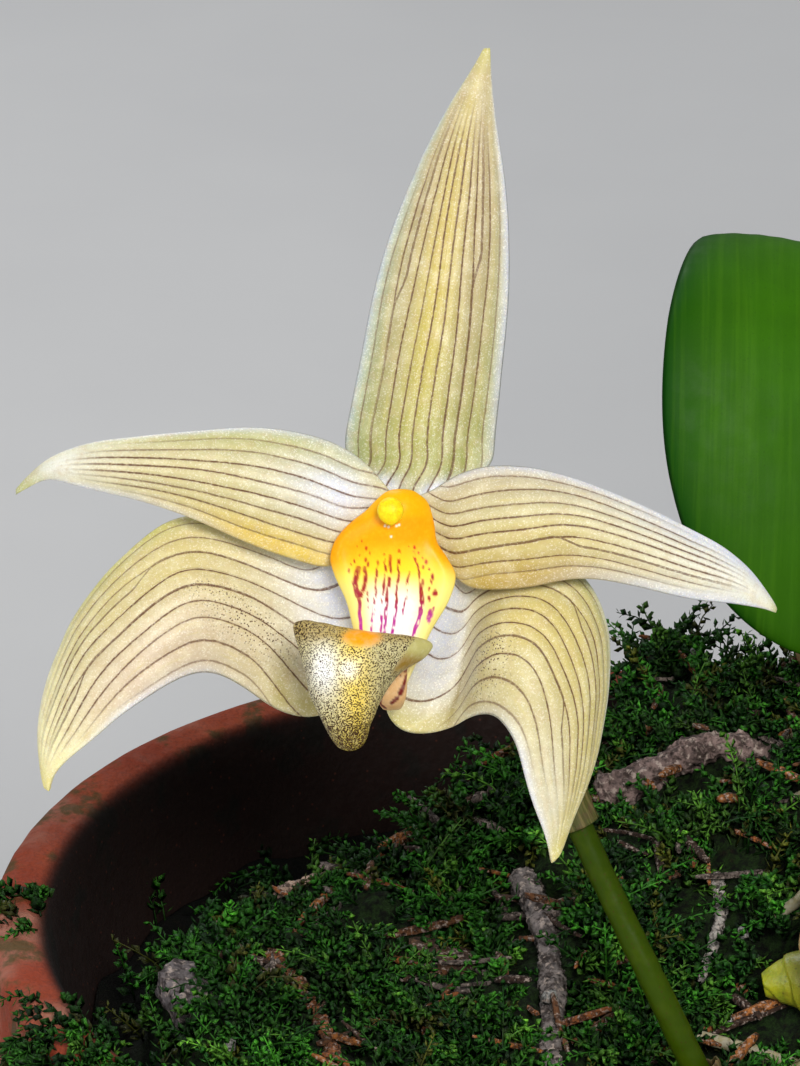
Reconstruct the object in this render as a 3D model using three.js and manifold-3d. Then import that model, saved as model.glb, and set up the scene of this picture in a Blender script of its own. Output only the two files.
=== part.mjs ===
// A potted Bulbophyllum lobbii: a clay pot of bark and moss, a creeping rhizome with
// four pseudobulbs and their leaves, and one striped flower on its scape.
// Millimetres, +Z up, origin at the centre of the pot's foot, the flower facing -Y.
import * as THREE from "three";
import Module from "manifold-3d";
import { mergeVertices } from "three/addons/utils/BufferGeometryUtils.js";

const wasm = await Module();
wasm.setup();

// Driving dimensions of the pot and what fills it
const POT_HEIGHT = 118;
const RIM_RADIUS = 71;
const RIM_BAND = 24;
const RIM_LIP = 4;
const FOOT_RADIUS = 48;
const POT_WALL = 5;
const POT_FLOOR = 6;
const DRAIN_RADIUS = 5;
const DRAIN_CIRCLE = 24;
const MIX_TOP = 88;
const POT_SIDES = 44;
const CLEARANCE = 0.35;

// The flower's place, the way it faces, and the sight line along which its outlines were measured
const FLOWER_CENTRE = [-17.5, -56, 196];
const FLOWER_ELEVATION = 25;
const SIGHT_DISTANCE = 560;
const TEPAL_THICKNESS = 0.8;
const COLUMN_THICKNESS = 1.8;
const LIP_THICKNESS = 1.5;
const CORE_CENTRE = [0.3, 3.0];
const CORE_RADIUS = 1.7;

// The plant's stems
const RHIZOME_RADIUS = 2.8;
const SCAPE_RADIUS = 1.7;
const PETIOLE_RADIUS = 2;
const LEAF_THICKNESS = 1.5;

const CLAY = { color: 0xa9583a, roughness: 0.85 };
const MIX = { color: 0x3c2a1c, roughness: 0.95 };
const MOSS = { color: 0x1f4a17, roughness: 0.95 };
const BARK = { color: 0x5f4637, roughness: 0.95 };
const TWIG = { color: 0x8d8074, roughness: 0.9 };
const RHIZOME = { color: 0x6f6a3c, roughness: 0.8 };
const BULB = { color: 0x8d9a2f, roughness: 0.45 };
const LEAF = { color: 0x3d7a1d, roughness: 0.4 };
const SCAPE = { color: 0x52690f, roughness: 0.5 };
const SHEATH = { color: 0x9c8a58, roughness: 0.8 };
const TEPAL = { color: 0xe3d79b, roughness: 0.55 };
const COLUMN = { color: 0xf4a81c, roughness: 0.4 };
const ANTHER = { color: 0xf9c413, roughness: 0.35 };
const LIP = { color: 0xb9a968, roughness: 0.5 };

const potted = new THREE.Group();

// Shared helpers: solids, cuts and nodes
function solidOf(geometry) {
  const bare = geometry.clone();
  bare.deleteAttribute("normal");
  bare.deleteAttribute("uv");
  const merged = mergeVertices(bare, 1e-4);
  return new wasm.Manifold(
    new wasm.Mesh({
      numProp: 3,
      vertProperties: merged.attributes.position.array,
      triVerts: new Uint32Array(merged.index.array),
    }),
  );
}

function geometryOf(solid) {
  const bodies = solid.decompose().sort((a, b) => b.volume() - a.volume());
  const mesh = bodies[0].getMesh();
  const geometry = new THREE.BufferGeometry();
  geometry.setAttribute("position", new THREE.BufferAttribute(mesh.vertProperties, 3));
  geometry.setIndex(new THREE.BufferAttribute(mesh.triVerts, 1));
  return geometry;
}

function cut(solid, cutters) {
  return cutters.reduce((left, cutter) => left.subtract(cutter), solid);
}

function addNode(parent, name, solid, look) {
  const mesh = new THREE.Mesh(geometryOf(solid), new THREE.MeshStandardMaterial({ metalness: 0, ...look }));
  mesh.name = name;
  parent.add(mesh);
}

function seeded(seed) {
  let state = seed;
  return () => {
    state = (Math.imul(state, 1664525) + 1013904223) >>> 0;
    return state / 4294967296;
  };
}

const curveOf = (points) => new THREE.CatmullRomCurve3(points.map((p) => new THREE.Vector3(...p)));
const smooth = (low, high, x) => THREE.MathUtils.smoothstep(x, low, high);

// Side faces between rings of equal length, each a list of Vector3
function ringFaces(count, around) {
  const index = [];
  for (let i = 0; i < count; i++) {
    for (let j = 0; j < around; j++) {
      const next = (j + 1) % around;
      const [a, b] = [i * around + j, i * around + next];
      index.push(a, b, b + around, a, b + around, a + around);
    }
  }
  return index;
}

// A closed body from rings, with a fan over each end
function ringBody(rings) {
  const around = rings[0].length;
  const positions = rings.flat().flatMap((p) => [p.x, p.y, p.z]);
  const index = ringFaces(rings.length - 1, around);
  const centreOf = (ring) => ring.reduce((sum, p) => sum.add(p), new THREE.Vector3()).divideScalar(around);
  const last = (rings.length - 1) * around;
  const first = centreOf(rings[0]);
  const end = centreOf(rings[rings.length - 1]);
  positions.push(first.x, first.y, first.z, end.x, end.y, end.z);
  for (let j = 0; j < around; j++) {
    const next = (j + 1) % around;
    index.push(rings.length * around, next, j);
    index.push(rings.length * around + 1, last + j, last + next);
  }
  const geometry = new THREE.BufferGeometry();
  geometry.setAttribute("position", new THREE.Float32BufferAttribute(positions, 3));
  geometry.setIndex(index);
  return geometry;
}

// A function that gives the point at a share of a curve's length, an angle round it and a radius
const FRAME_STEPS = 120;
function aroundCurve(curve) {
  const frames = curve.computeFrenetFrames(FRAME_STEPS, false);
  return (along, angle, radius) => {
    const frame = Math.round(along * FRAME_STEPS);
    const point = curve.getPointAt(along);
    point.addScaledVector(frames.normals[frame], radius * Math.cos(angle));
    return point.addScaledVector(frames.binormals[frame], radius * Math.sin(angle));
  };
}

const turnOf = (j, sides) => (2 * Math.PI * j) / sides;

// A round stem along a curve, whose radius is a function of the share of its length
function stem(curve, radiusAt, sides, steps, from = 0, to = 1) {
  const place = aroundCurve(curve);
  const rings = Array.from({ length: steps + 1 }, (_, i) => {
    const along = from + ((to - from) * i) / steps;
    return Array.from({ length: sides }, (_, j) => place(along, turnOf(j, sides), radiusAt(along)));
  });
  return solidOf(ringBody(rings));
}

// A blade of even thickness over a surface, a function of its place along and across, each 0 to 1.
// Both faces are split into the same triangles.
function blade(surface, along, across, thickness) {
  const at = (i, j) => surface(i / along, j / across);
  const nudge = 1e-3;
  const normalAt = (i, j) => {
    const t = THREE.MathUtils.clamp(i / along, nudge, 1 - nudge);
    const u = THREE.MathUtils.clamp(j / across, nudge, 1 - nudge);
    const alongStep = surface(t + nudge, u).sub(surface(t - nudge, u));
    const acrossStep = surface(t, u + nudge).sub(surface(t, u - nudge));
    return acrossStep.cross(alongStep).normalize();
  };
  const positions = [];
  for (const side of [1, -1]) {
    for (let i = 0; i <= along; i++) {
      for (let j = 0; j <= across; j++) {
        const p = at(i, j).addScaledVector(normalAt(i, j), (side * thickness) / 2);
        positions.push(p.x, p.y, p.z);
      }
    }
  }
  const row = across + 1;
  const face = (along + 1) * row;
  const index = [];
  const quad = (a, b, c, d) => index.push(a, b, c, a, c, d);
  for (let i = 0; i < along; i++) {
    for (let j = 0; j < across; j++) {
      const a = i * row + j;
      quad(a, a + 1, a + row + 1, a + row);
      index.push(face + a, face + a + row + 1, face + a + 1);
      index.push(face + a, face + a + row, face + a + row + 1);
    }
  }
  for (let i = 0; i < along; i++) {
    const left = i * row;
    const right = left + across;
    quad(left, left + row, face + left + row, face + left);
    quad(right, face + right, face + right + row, right + row);
  }
  for (let j = 0; j < across; j++) {
    const end = along * row + j;
    quad(j, face + j, face + j + 1, j + 1);
    quad(end, end + 1, face + end + 1, face + end);
  }
  const geometry = new THREE.BufferGeometry();
  geometry.setAttribute("position", new THREE.Float32BufferAttribute(positions, 3));
  geometry.setIndex(index);
  return solidOf(geometry);
}

// A surface through a net of points, rows from base to tip, each from one margin to the other
function netSurface(rows) {
  const columns = rows[0].map((_, j) => curveOf(rows.map((row) => row[j])));
  return (t, u) => new THREE.CatmullRomCurve3(columns.map((column) => column.getPoint(t))).getPoint(u);
}

// An outline point measured on the plane of the flower's centre, moved along the sight line to its depth
function sighted([x, y, z]) {
  const nearer = (SIGHT_DISTANCE - z) / SIGHT_DISTANCE;
  return [x * nearer, y * nearer, z];
}

// Rows of a tepal given as left margin, right margin, margins' depth and midrib's depth
function marginRows(stations) {
  return stations.map(([xa, ya, xb, yb, marginZ, midZ]) =>
    [[xa, ya, marginZ], [(xa + xb) / 2, (ya + yb) / 2, midZ], [xb, yb, marginZ]].map(sighted),
  );
}

const depthRows = (rows) => rows.map((row) => row.map(sighted));

// The pot: an outer wall with a rim band, open at the top, with drain holes in the floor
function potRadius(z) {
  return FOOT_RADIUS + ((RIM_RADIUS - RIM_LIP - FOOT_RADIUS) * z) / POT_HEIGHT;
}
const innerRadius = (z) => potRadius(z) - POT_WALL + (RIM_LIP - 3) * smooth(0, POT_HEIGHT, z);

function makePot() {
  const band = POT_HEIGHT - RIM_BAND;
  const profile = [
    [0, 0],
    [FOOT_RADIUS - 2, 0],
    [FOOT_RADIUS, 2],
    [potRadius(band - 3), band - 3],
    [RIM_RADIUS - 1.5, band],
    [RIM_RADIUS - 0.3, band + 2],
    [RIM_RADIUS, POT_HEIGHT - 3],
    [RIM_RADIUS - 1.2, POT_HEIGHT - 0.6],
    [RIM_RADIUS - 3, POT_HEIGHT],
    [innerRadius(POT_HEIGHT) + 0.8, POT_HEIGHT - 0.6],
    [innerRadius(POT_HEIGHT - 3), POT_HEIGHT - 3],
    [innerRadius(POT_FLOOR + 3), POT_FLOOR + 3],
    [innerRadius(POT_FLOOR) - 3, POT_FLOOR],
    [0, POT_FLOOR],
  ].map(([r, z]) => new THREE.Vector2(r, z));
  const wall = new THREE.LatheGeometry(profile, POT_SIDES).rotateX(Math.PI / 2);
  const drains = [0, 1, 2, 3].map((k) => {
    const angle = Math.PI / 4 + (k * Math.PI) / 2;
    const hole = new THREE.CylinderGeometry(DRAIN_RADIUS, DRAIN_RADIUS, 4 * POT_FLOOR, 12).rotateX(Math.PI / 2);
    return solidOf(hole.translate(DRAIN_CIRCLE * Math.cos(angle), DRAIN_CIRCLE * Math.sin(angle), 0));
  });
  addNode(potted, "pot", cut(solidOf(wall), drains), CLAY);
}

function makeBarkMix() {
  const bottom = POT_FLOOR + CLEARANCE;
  const profile = [
    [0, bottom],
    [innerRadius(POT_FLOOR) - 4, bottom],
    [innerRadius(POT_FLOOR + 5) - 1, POT_FLOOR + 5],
    [innerRadius(MIX_TOP) - CLEARANCE - 0.3, MIX_TOP],
    [0, MIX_TOP],
  ].map(([r, z]) => new THREE.Vector2(r, z));
  addNode(potted, "bark_mix", solidOf(new THREE.LatheGeometry(profile, POT_SIDES).rotateX(Math.PI / 2)), MIX);
}

// The moss cushion: a low mound that climbs to the right and behind, with a dark hollow behind its
// crest on the left, a gap along the left wall, one deep hole, and tufts
const TUFTS = (() => {
  const random = seeded(11);
  return Array.from({ length: 110 }, () => {
    const angle = 2 * Math.PI * random();
    const out = 62 * Math.sqrt(random());
    const [high, wide] = [1 + 2 * random(), 3.5 + 3.5 * random()];
    return { x: out * Math.cos(angle), y: out * Math.sin(angle), high, wide };
  });
})();

const bump = (x, y, wide) => Math.exp(-(x * x + y * y) / wide ** 2);

function mossHeight(x, y) {
  const out = Math.hypot(x, y);
  const behindCrest = smooth(18, 31, 0.83 * y - 0.55 * x) * (1 - smooth(2, 18, x));
  const climb = 14 * smooth(-12, 38, 0.75 * x + 0.66 * y) * (1 - smooth(52, 66, out));
  const mound = (4 * (1 - (out / 64) ** 2) + climb) * (1 - behindCrest) - 17 * behindCrest;
  const leftGap = 15 * smooth(44, 53, -x) * (1 - smooth(28, 46, -y)) * (1 - behindCrest);
  const hole = 8 * bump(x - 12, y - 30, 9);
  const tufts = TUFTS.reduce((sum, t) => sum + t.high * bump(x - t.x, y - t.y, t.wide), 0);
  return POT_HEIGHT - 4 + mound - leftGap - hole + tufts - 3 * smooth(57, 65, out);
}

function mossBody() {
  const rings = 11;
  const random = seeded(5);
  const floor = MIX_TOP + CLEARANCE;
  const angles = Array.from({ length: POT_SIDES }, (_, j) => turnOf(j, POT_SIDES));
  const ring = (radiusAt, heightAt) =>
    angles.map((angle) => {
      const radius = radiusAt(angle);
      const [x, y] = [radius * Math.cos(angle), radius * Math.sin(angle)];
      return new THREE.Vector3(x, y, heightAt(x, y));
    });
  const edgeAt = (angle) => {
    const height = mossHeight(63 * Math.cos(angle), 63 * Math.sin(angle));
    return innerRadius(Math.min(height - 2, POT_HEIGHT - 4)) - CLEARANCE;
  };
  const rough = (x, y) => mossHeight(x, y) + 1.6 * (random() - 0.5);
  const stack = [ring(() => innerRadius(MIX_TOP) - 2 * CLEARANCE, () => floor)];
  for (let k = rings; k > 0; k--) {
    stack.push(ring((angle) => (edgeAt(angle) * k) / rings, k === rings ? mossHeight : rough));
  }
  return solidOf(ringBody(stack));
}

// The rhizome creeps along the right-hand side of the pot, half sunk in the moss
const polar = (degrees, radius) => {
  const angle = THREE.MathUtils.degToRad(degrees);
  return [radius * Math.cos(angle), radius * Math.sin(angle)];
};
const RHIZOME_ROUTE = [
  [-78, 57],
  [-68, 58],
  [-42, 54],
  [-15, 54],
  [10, 54],
  [34, 56],
  [46, 53],
].map(([degrees, radius]) => {
  const [x, y] = polar(degrees, radius);
  return [x, y, mossHeight(x, y) + 0.6];
});

function rhizomeBody(extra) {
  const swollen = (along) => RHIZOME_RADIUS + extra + 0.35 * Math.sin(2 * Math.PI * 7 * along);
  const main = stem(curveOf(RHIZOME_ROUTE), swollen, 8, 28);
  const roots = ROOT_ROUTES.map((route) =>
    stem(curveOf(route), (along) => (0.95 - 0.3 * along) + extra, 5, 7),
  );
  return roots.reduce((sum, root) => sum.add(root), main);
}

// Roots leave the rhizome, lie on the moss for a way and dip into it
const onMoss = (x, y, above) => [x, y, mossHeight(x, y) + above];
const ROOT_ROUTES = [
  [onMoss(33, -42, 1), onMoss(24, -37, 1.6), onMoss(14, -34, 0.8), onMoss(7, -30, -4)],
  [onMoss(48, -24, 1), onMoss(39, -19, 1.6), onMoss(31, -17, 1), onMoss(24, -13, -5)],
  [onMoss(53, 2, 1), onMoss(43, 2, 1.8), onMoss(36, 5, 0.8), onMoss(31, 9, -4)],
  [onMoss(47, 28, 1), onMoss(40, 25, 1.6), onMoss(35, 21, 1), onMoss(30, 22, -5)],
];

// A pseudobulb: an egg shape with shallow ridges, leaning from its base
const BULBS = [
  { at: [-40, 55], height: 34, radius: 10.5, lean: [6, -6], turn: 0.3 },
  { at: [-14, 54], height: 36, radius: 11, lean: [7, -3], turn: 1.2 },
  { at: [11, 55], height: 37, radius: 11, lean: [7, 3], turn: 2.1 },
  { at: [34, 57], height: 30, radius: 10, lean: [-1, 8], turn: 0.8 },
].map((bulb) => {
  const [x, y] = polar(...bulb.at);
  return { ...bulb, base: [x, y, mossHeight(x, y) + 1.2] };
});
const bulbTop = ({ base, lean, height }) => [base[0] + lean[0], base[1] + lean[1], base[2] + height];

function bulbBody(bulb, extra) {
  const levels = 8;
  const around = 12;
  const rings = [];
  for (let i = 0; i <= levels; i++) {
    const up = i / levels;
    const plump = Math.sin(Math.PI * (0.13 + 0.8 * up ** 0.9)) ** 0.8;
    const ring = [];
    for (let j = 0; j < around; j++) {
      const angle = turnOf(j, around) + bulb.turn;
      const ridge = 1 + 0.05 * Math.cos(6 * (angle - bulb.turn)) * Math.sin(Math.PI * up);
      const out = bulb.radius * plump * ridge + extra;
      const shift = up ** 1.4;
      ring.push(
        new THREE.Vector3(
          bulb.base[0] + bulb.lean[0] * shift + out * Math.cos(angle),
          bulb.base[1] + bulb.lean[1] * shift + out * Math.sin(angle),
          bulb.base[2] - extra + (bulb.height + 2 * extra) * up,
        ),
      );
    }
    rings.push(ring);
  }
  return solidOf(ringBody(rings));
}

// A young shoot beside the first bulb, pointing into the pot
const SHOOT_ROUTE = [
  [...polar(-36, 51), mossHeight(...polar(-36, 51)) + 2],
  [36, -32, mossHeight(36, -32) + 3.6],
  [31, -31, mossHeight(31, -31) + 3.8],
  [27.5, -31, mossHeight(27.5, -31) + 4.2],
];
const shootBody = (extra) => {
  const plump = (along) => extra + 0.6 + 4.1 * Math.sin(Math.PI * (0.3 + 0.66 * along)) ** 0.8;
  return stem(curveOf(SHOOT_ROUTE), plump, 8, 6);
};

// Leaves: each has its midrib's route from the petiole's foot to the tip, the way its left margin
// points, its width, and the share of the route that is petiole
const LEAVES = [
  {
    name: "leaf_front",
    bulb: 0,
    route: [[54, -54, 172], [66, -70, 178], [80, -90, 172], [91, -107, 154], [98, -119, 130]],
    side: [-0.8, -0.6, -0.1],
    width: 44,
    petiole: 0.2,
  },
  {
    name: "leaf_right",
    bulb: 1,
    route: [[68, -21, 180], [84, -26, 202], [108, -33, 216], [132, -40, 212], [152, -46, 194]],
    side: [-0.25, -0.96, -0.15],
    width: 47,
    petiole: 0.2,
  },
  {
    name: "leaf_upright",
    bulb: 2,
    route: [[68, 15, 192], [78, 24, 218], [90, 36, 248], [103, 50, 273], [116, 64, 290]],
    side: [0.72, -0.64, -0.25],
    width: 48,
    petiole: 0.18,
  },
  {
    name: "leaf_arching",
    bulb: 3,
    route: [[43, 49, 177], [40.5, 49, 186], [38, 38, 192.5], [37, 24, 187], [36.5, 13, 170], [36, 7, 150]],
    side: [-1, 0, 0],
    width: 50,
    petiole: 0.17,
  },
];

function leafCurve(leaf) {
  const top = bulbTop(BULBS[leaf.bulb]);
  return curveOf([[top[0], top[1], top[2] + CLEARANCE], ...leaf.route]);
}

// Half the blade's width at a place along it: narrow at the petiole, rounded to a point at the tip
const leafHalfWidth = (t, width) => (width / 2) * Math.min(1, 0.08 + 1.3 * t ** 0.72) * (1 - t ** 4.4) ** 0.62;

// The place along a blade for an even step, so that steps are closer near the tip
const towardTip = (step) => 1 - (1 - step) ** 1.5;

function leafSurface(leaf) {
  const curve = leafCurve(leaf);
  const side = new THREE.Vector3(...leaf.side);
  return (step, u) => {
    const t = towardTip(step);
    const along = leaf.petiole + (1 - leaf.petiole) * t;
    const tangent = curve.getTangentAt(along);
    const left = side.clone().addScaledVector(tangent, -side.dot(tangent)).normalize();
    const under = new THREE.Vector3().crossVectors(tangent, left);
    const across = 2 * u - 1;
    const half = Math.max(0.7, leafHalfWidth(t, leaf.width));
    const fold = half * (0.34 * Math.abs(across) - 0.2 * across ** 2);
    const wave = 1.1 * across ** 2 * Math.sin(9 * t + leaf.bulb) * Math.sin(Math.PI * t);
    return curve.getPointAt(along).addScaledVector(left, across * half).addScaledVector(under, -(fold + wave));
  };
}

function leafBody(leaf) {
  const end = leaf.petiole + 0.55 * (1 - leaf.petiole);
  const taper = (along) => {
    const swollenFoot = 0.6 * (1 - smooth(0, 0.12, along));
    return PETIOLE_RADIUS + swollenFoot - (PETIOLE_RADIUS - 0.5) * smooth(leaf.petiole * 0.7, end, along);
  };
  const stalk = stem(leafCurve(leaf), taper, 8, 12, 0, end);
  return stalk.add(blade(leafSurface(leaf), 12, 6, LEAF_THICKNESS));
}

// The scape rises from the rhizome and leans to the left, the ovary bends in to the flower's back
const flower = new THREE.Group();
flower.position.set(...FLOWER_CENTRE);
flower.rotation.x = THREE.MathUtils.degToRad(90 - FLOWER_ELEVATION);
flower.updateMatrix();

const SCAPE_FOOT = [...polar(-69, 58), mossHeight(...polar(-69, 58)) + 2.5];
const fromFlower = ([x, y, z]) => [FLOWER_CENTRE[0] + x, FLOWER_CENTRE[1] + y, FLOWER_CENTRE[2] + z];
const inFlower = (x, y, z) => new THREE.Vector3(x, y, z).applyMatrix4(flower.matrix).toArray();
const STALK = curveOf([
  SCAPE_FOOT,
  fromFlower([31, 0, -60]),
  fromFlower([24, 4, -46]),
  fromFlower([13, 10.5, -22]),
  fromFlower([8, 13, -12]),
  inFlower(CORE_CENTRE[0] + 0.8, CORE_CENTRE[1] - 1, -11),
  inFlower(...CORE_CENTRE, -6.5),
]);
const NODE_SHARE = 0.71;
const stalkRadius = (along) => SCAPE_RADIUS - 0.4 * along + 0.9 * smooth(NODE_SHARE + 0.04, 0.97, along);
const scapeBody = (extra) => stem(STALK, (along) => stalkRadius(along) + extra, 8, 13, 0, NODE_SHARE);
const ovaryBody = (extra) => stem(STALK, (along) => stalkRadius(along) + extra, 8, 8, NODE_SHARE + 0.004, 1);

// Papery sheaths wrapped round the scape: a thin shell between two shares of its length, drawn out
// to a point on one side of its mouth, which stands off the stem
const SHEATHS = [
  { name: "sheath_lower", from: 0.02, to: 0.105, turn: 1, flare: 0.7 },
  { name: "sheath_upper", from: 0.47, to: 0.58, turn: 3, flare: 0.8 },
  { name: "floral_bract", from: 0.68, to: 0.785, turn: 2, flare: 1.6 },
];

function sheathBody({ from, to, turn, flare }) {
  const sides = 10;
  const steps = 4;
  const place = aroundCurve(STALK);
  const ring = (step, thickness) =>
    Array.from({ length: sides }, (_, j) => {
      const angle = turnOf(j, sides);
      const reach = 0.62 + 0.38 * ((1 + Math.cos(angle - turn)) / 2) ** 2;
      const share = (step / steps) * reach;
      const along = from + (to - from) * share;
      return place(along, angle, stalkRadius(along) + CLEARANCE + flare * share ** 1.5 + thickness);
    });
  const outer = Array.from({ length: steps + 1 }, (_, i) => ring(i, 0.65));
  const inner = Array.from({ length: steps + 1 }, (_, i) => ring(steps - i, 0));
  const rings = [...outer, ...inner, outer[0]];
  const geometry = new THREE.BufferGeometry();
  const positions = rings.flat().flatMap((p) => [p.x, p.y, p.z]);
  geometry.setAttribute("position", new THREE.Float32BufferAttribute(positions, 3));
  geometry.setIndex(ringFaces(rings.length - 1, sides));
  return solidOf(geometry);
}

function makeStems() {
  addNode(potted, "rhizome", cut(rhizomeBody(0), [scapeBody(CLEARANCE)]), RHIZOME);
  addNode(potted, "scape", scapeBody(0), SCAPE);
  for (const sheath of SHEATHS) {
    addNode(potted, sheath.name, cut(sheathBody(sheath), [rhizomeBody(CLEARANCE)]), SHEATH);
  }
}

// The flower's petals and sepals, column and lip, in its own frame: X right, Y up, Z to the viewer
const DORSAL_SEPAL = marginRows([
  [-1.5, 3.2, 1.9, 3.2, -1.5, -1.5],
  [-3.4, 6.1, 4.7, 5.8, -2.1, -1.7],
  [-5.8, 8.9, 9.5, 8.0, -3.2, -1.8],
  [-6.3, 11.3, 10.7, 11.3, -4.6, -2],
  [-5.4, 15.8, 11.2, 15.8, -5.4, -2.3],
  [-3.8, 24.1, 12.1, 24.6, -6.2, -3],
  [-2.3, 31.1, 12.4, 31.4, -6.6, -3.8],
  [0.5, 38.9, 12.1, 39.3, -7, -4.9],
  [3.7, 46.0, 11.1, 45.8, -7.4, -6.2],
  [7.0, 51.4, 10.4, 51.5, -7.8, -7.3],
  [8.7, 54.0, 10.2, 54.0, -8.1, -7.8],
  [9.6, 55.5, 10.1, 55.6, -8.4, -8.3],
]);

const LEFT_PETAL = marginRows([
  [-0.6, 1.8, -0.4, 4.6, 0.6, 0.6],
  [-5.2, -1.2, -2.7, 7.5, 0.7, 1],
  [-7.8, -3.2, -4.7, 9.4, 0.6, 1.9],
  [-11.3, -2.4, -7.9, 11.2, 0.4, 2.6],
  [-15.6, -1.0, -12.4, 12.4, 0.5, 3.2],
  [-19.4, 0.6, -17.3, 12.8, 0.6, 3.3],
  [-24.3, 2.8, -22.6, 12.4, 0.6, 2.9],
  [-29.4, 4.4, -28.7, 11.8, 0.1, 2.0],
  [-34.1, 5.5, -34.1, 11.2, -0.9, 0.6],
  [-37.7, 6.5, -37.9, 10.1, -2.2, -1.3],
  [-40.0, 7.0, -40.5, 8.6, -3.6, -3.1],
  [-43.4, 5.1, -43.4, 5.5, -6, -6],
]);

const RIGHT_PETAL = marginRows([
  [0.9, 4.6, 1.1, 1.9, 0.6, 0.6],
  [3.6, 5.6, 5.7, -3.7, 0.7, 1],
  [4.7, 6.3, 7.9, -5.5, 0.7, 2.0],
  [7.3, 7.8, 11.3, -5.6, 0.7, 2.8],
  [11.3, 8.5, 15.1, -5.3, 0.8, 3.4],
  [16.4, 8.0, 19.4, -4.3, 0.9, 3.5],
  [21.2, 6.5, 23.7, -4.6, 0.8, 3.1],
  [26.2, 4.5, 28.3, -5.6, 0.3, 2.2],
  [31.8, 1.8, 33.2, -6.8, -0.8, 0.8],
  [36.2, -0.6, 37.1, -7.1, -2, -0.9],
  [39.0, -2.8, 39.6, -7.5, -3.1, -2.4],
  [41.2, -5.7, 41.2, -7.8, -4.4, -4],
  [42.5, -7.9, 42.4, -8.2, -5.2, -5.2],
]);

const LEFT_LATERAL_SEPAL = depthRows([
  [[-1.6, 0.6, -1.8], [-1.7, -4.4, 0.8], [-1.5, -8.8, 0.9], [-1.2, -12.6, 0.3], [-1.1, -15.8, -0.8]],
  [[-6.6, -0.8, -1.9], [-6.2, -6.2, -1.3], [-5.4, -10.7, -1.6], [-4.6, -14.2, -2.2], [-4.0, -17.2, -2.8]],
  [[-9.9, -2.3, -2.6], [-9.3, -5.9, -3.2], [-8.8, -10.2, -4], [-8.8, -14.9, -4.4], [-9.3, -20.2, -5]],
  [[-14.7, 0.5, -3.2], [-13.8, -3.8, -3.2], [-13.1, -8.4, -3.2], [-12.9, -13.3, -3.8], [-14.0, -19.2, -5.6]],
  [[-19.8, 2.5, -3.6], [-18.9, -1.8, -2.4], [-18.0, -6.1, -1], [-17.4, -10.6, -1.2], [-17.4, -16.8, -4]],
  [[-24.6, 2.8, -4], [-24.2, -0.9, -1.8], [-23.4, -5.0, 0.6], [-22.4, -9.0, 1.2], [-21.5, -14.8, -0.8]],
  [[-28.8, 0.5, -4], [-28.5, -3.2, -1.2], [-27.6, -6.8, 1.2], [-26.2, -10.6, 2.2], [-25.1, -15.7, 1.2]],
  [[-33.2, -3.8, -4], [-32.8, -6.8, -1], [-31.9, -10.2, 1.4], [-30.4, -13.8, 2.6], [-28.7, -17.9, 2.4]],
  [[-36.7, -8.4, -4], [-36.2, -11.1, -1.2], [-35.3, -14.1, 0.9], [-33.8, -17.4, 2], [-31.9, -20.1, 2.2]],
  [[-39.3, -14.2, -3.8], [-38.6, -16.6, -1.6], [-37.7, -19.0, 0], [-36.4, -21.4, 0.9], [-34.7, -22.6, 1.2]],
  [[-40.9, -20.0, -3.4], [-40.2, -21.6, -2], [-39.4, -23.1, -1.1], [-38.4, -24.3, -0.6], [-37.3, -24.6, -0.3]],
  [[-40.6, -24.5, -3], [-40.3, -25.2, -2.4], [-39.9, -25.8, -2], [-39.5, -26.3, -1.8], [-39.1, -26.6, -1.7]],
  [[-40.0, -28.2, -2.9], [-39.9, -28.3, -2.8], [-39.8, -28.3, -2.8], [-39.7, -28.4, -2.7], [-39.6, -28.4, -2.7]],
]);

const RIGHT_LATERAL_SEPAL = depthRows([
  [[1.8, 0.8, -1.9], [1.5, -4.4, 0.7], [0.9, -8.8, 0.9], [0.1, -12.8, 0.2], [-1.1, -16.6, -1.8]],
  [[5.6, -0.6, -2], [5.3, -6.6, -1.4], [4.1, -11.2, -1.8], [1.2, -15.2, -2.6], [-1.7, -19.2, -3.4]],
  [[7.5, -3.6, -2.6], [6.8, -7.5, -3.6], [5.7, -12.2, -5], [3.9, -17.4, -5.6], [0.5, -21.9, -5]],
  [[9.5, -2.5, -3], [8.0, -7.0, -4.2], [7.6, -12.0, -5.4], [7.1, -17.0, -5.4], [5.7, -21.4, -3.6]],
  [[12.2, -1.9, -2.8], [10.4, -5.7, -3], [9.4, -9.9, -2.2], [8.8, -14.5, -1], [8.1, -19.9, -0.6]],
  [[15.8, -2.0, -2.8], [14.0, -5.1, -2], [12.3, -8.8, 0.6], [11.2, -13.0, 2], [10.6, -19.7, 1.6]],
  [[19.7, -2.9, -3.6], [18.1, -6.0, -1.8], [16.2, -9.7, 1], [14.4, -13.9, 2.8], [12.3, -21.6, 2.8]],
  [[22.8, -7.1, -4.4], [21.1, -9.9, -1.2], [18.9, -13.6, 1], [16.5, -17.9, 2.4], [13.3, -23.6, 3]],
  [[23.8, -13.0, -4.6], [22.1, -15.5, -1.4], [20.0, -18.4, 0.6], [17.3, -22.0, 1.9], [14.1, -26.8, 2.5]],
  [[23.2, -19.8, -4], [21.7, -21.7, -1.5], [20.0, -23.6, 0.2], [17.6, -26.2, 1.3], [15.1, -30.1, 1.8]],
  [[21.6, -26.3, -3], [20.6, -27.7, -1.5], [19.3, -28.9, -0.3], [17.9, -30.4, 0.5], [16.2, -32.9, 0.8]],
  [[19.3, -31.6, -1.8], [18.9, -32.4, -1.1], [18.3, -33.1, -0.6], [17.6, -33.8, -0.4], [16.8, -35.0, -0.2]],
  [[17.5, -36.3, -0.6], [17.4, -36.4, -0.6], [17.3, -36.4, -0.6], [17.2, -36.5, -0.6], [17.1, -36.5, -0.6]],
]);

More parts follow.
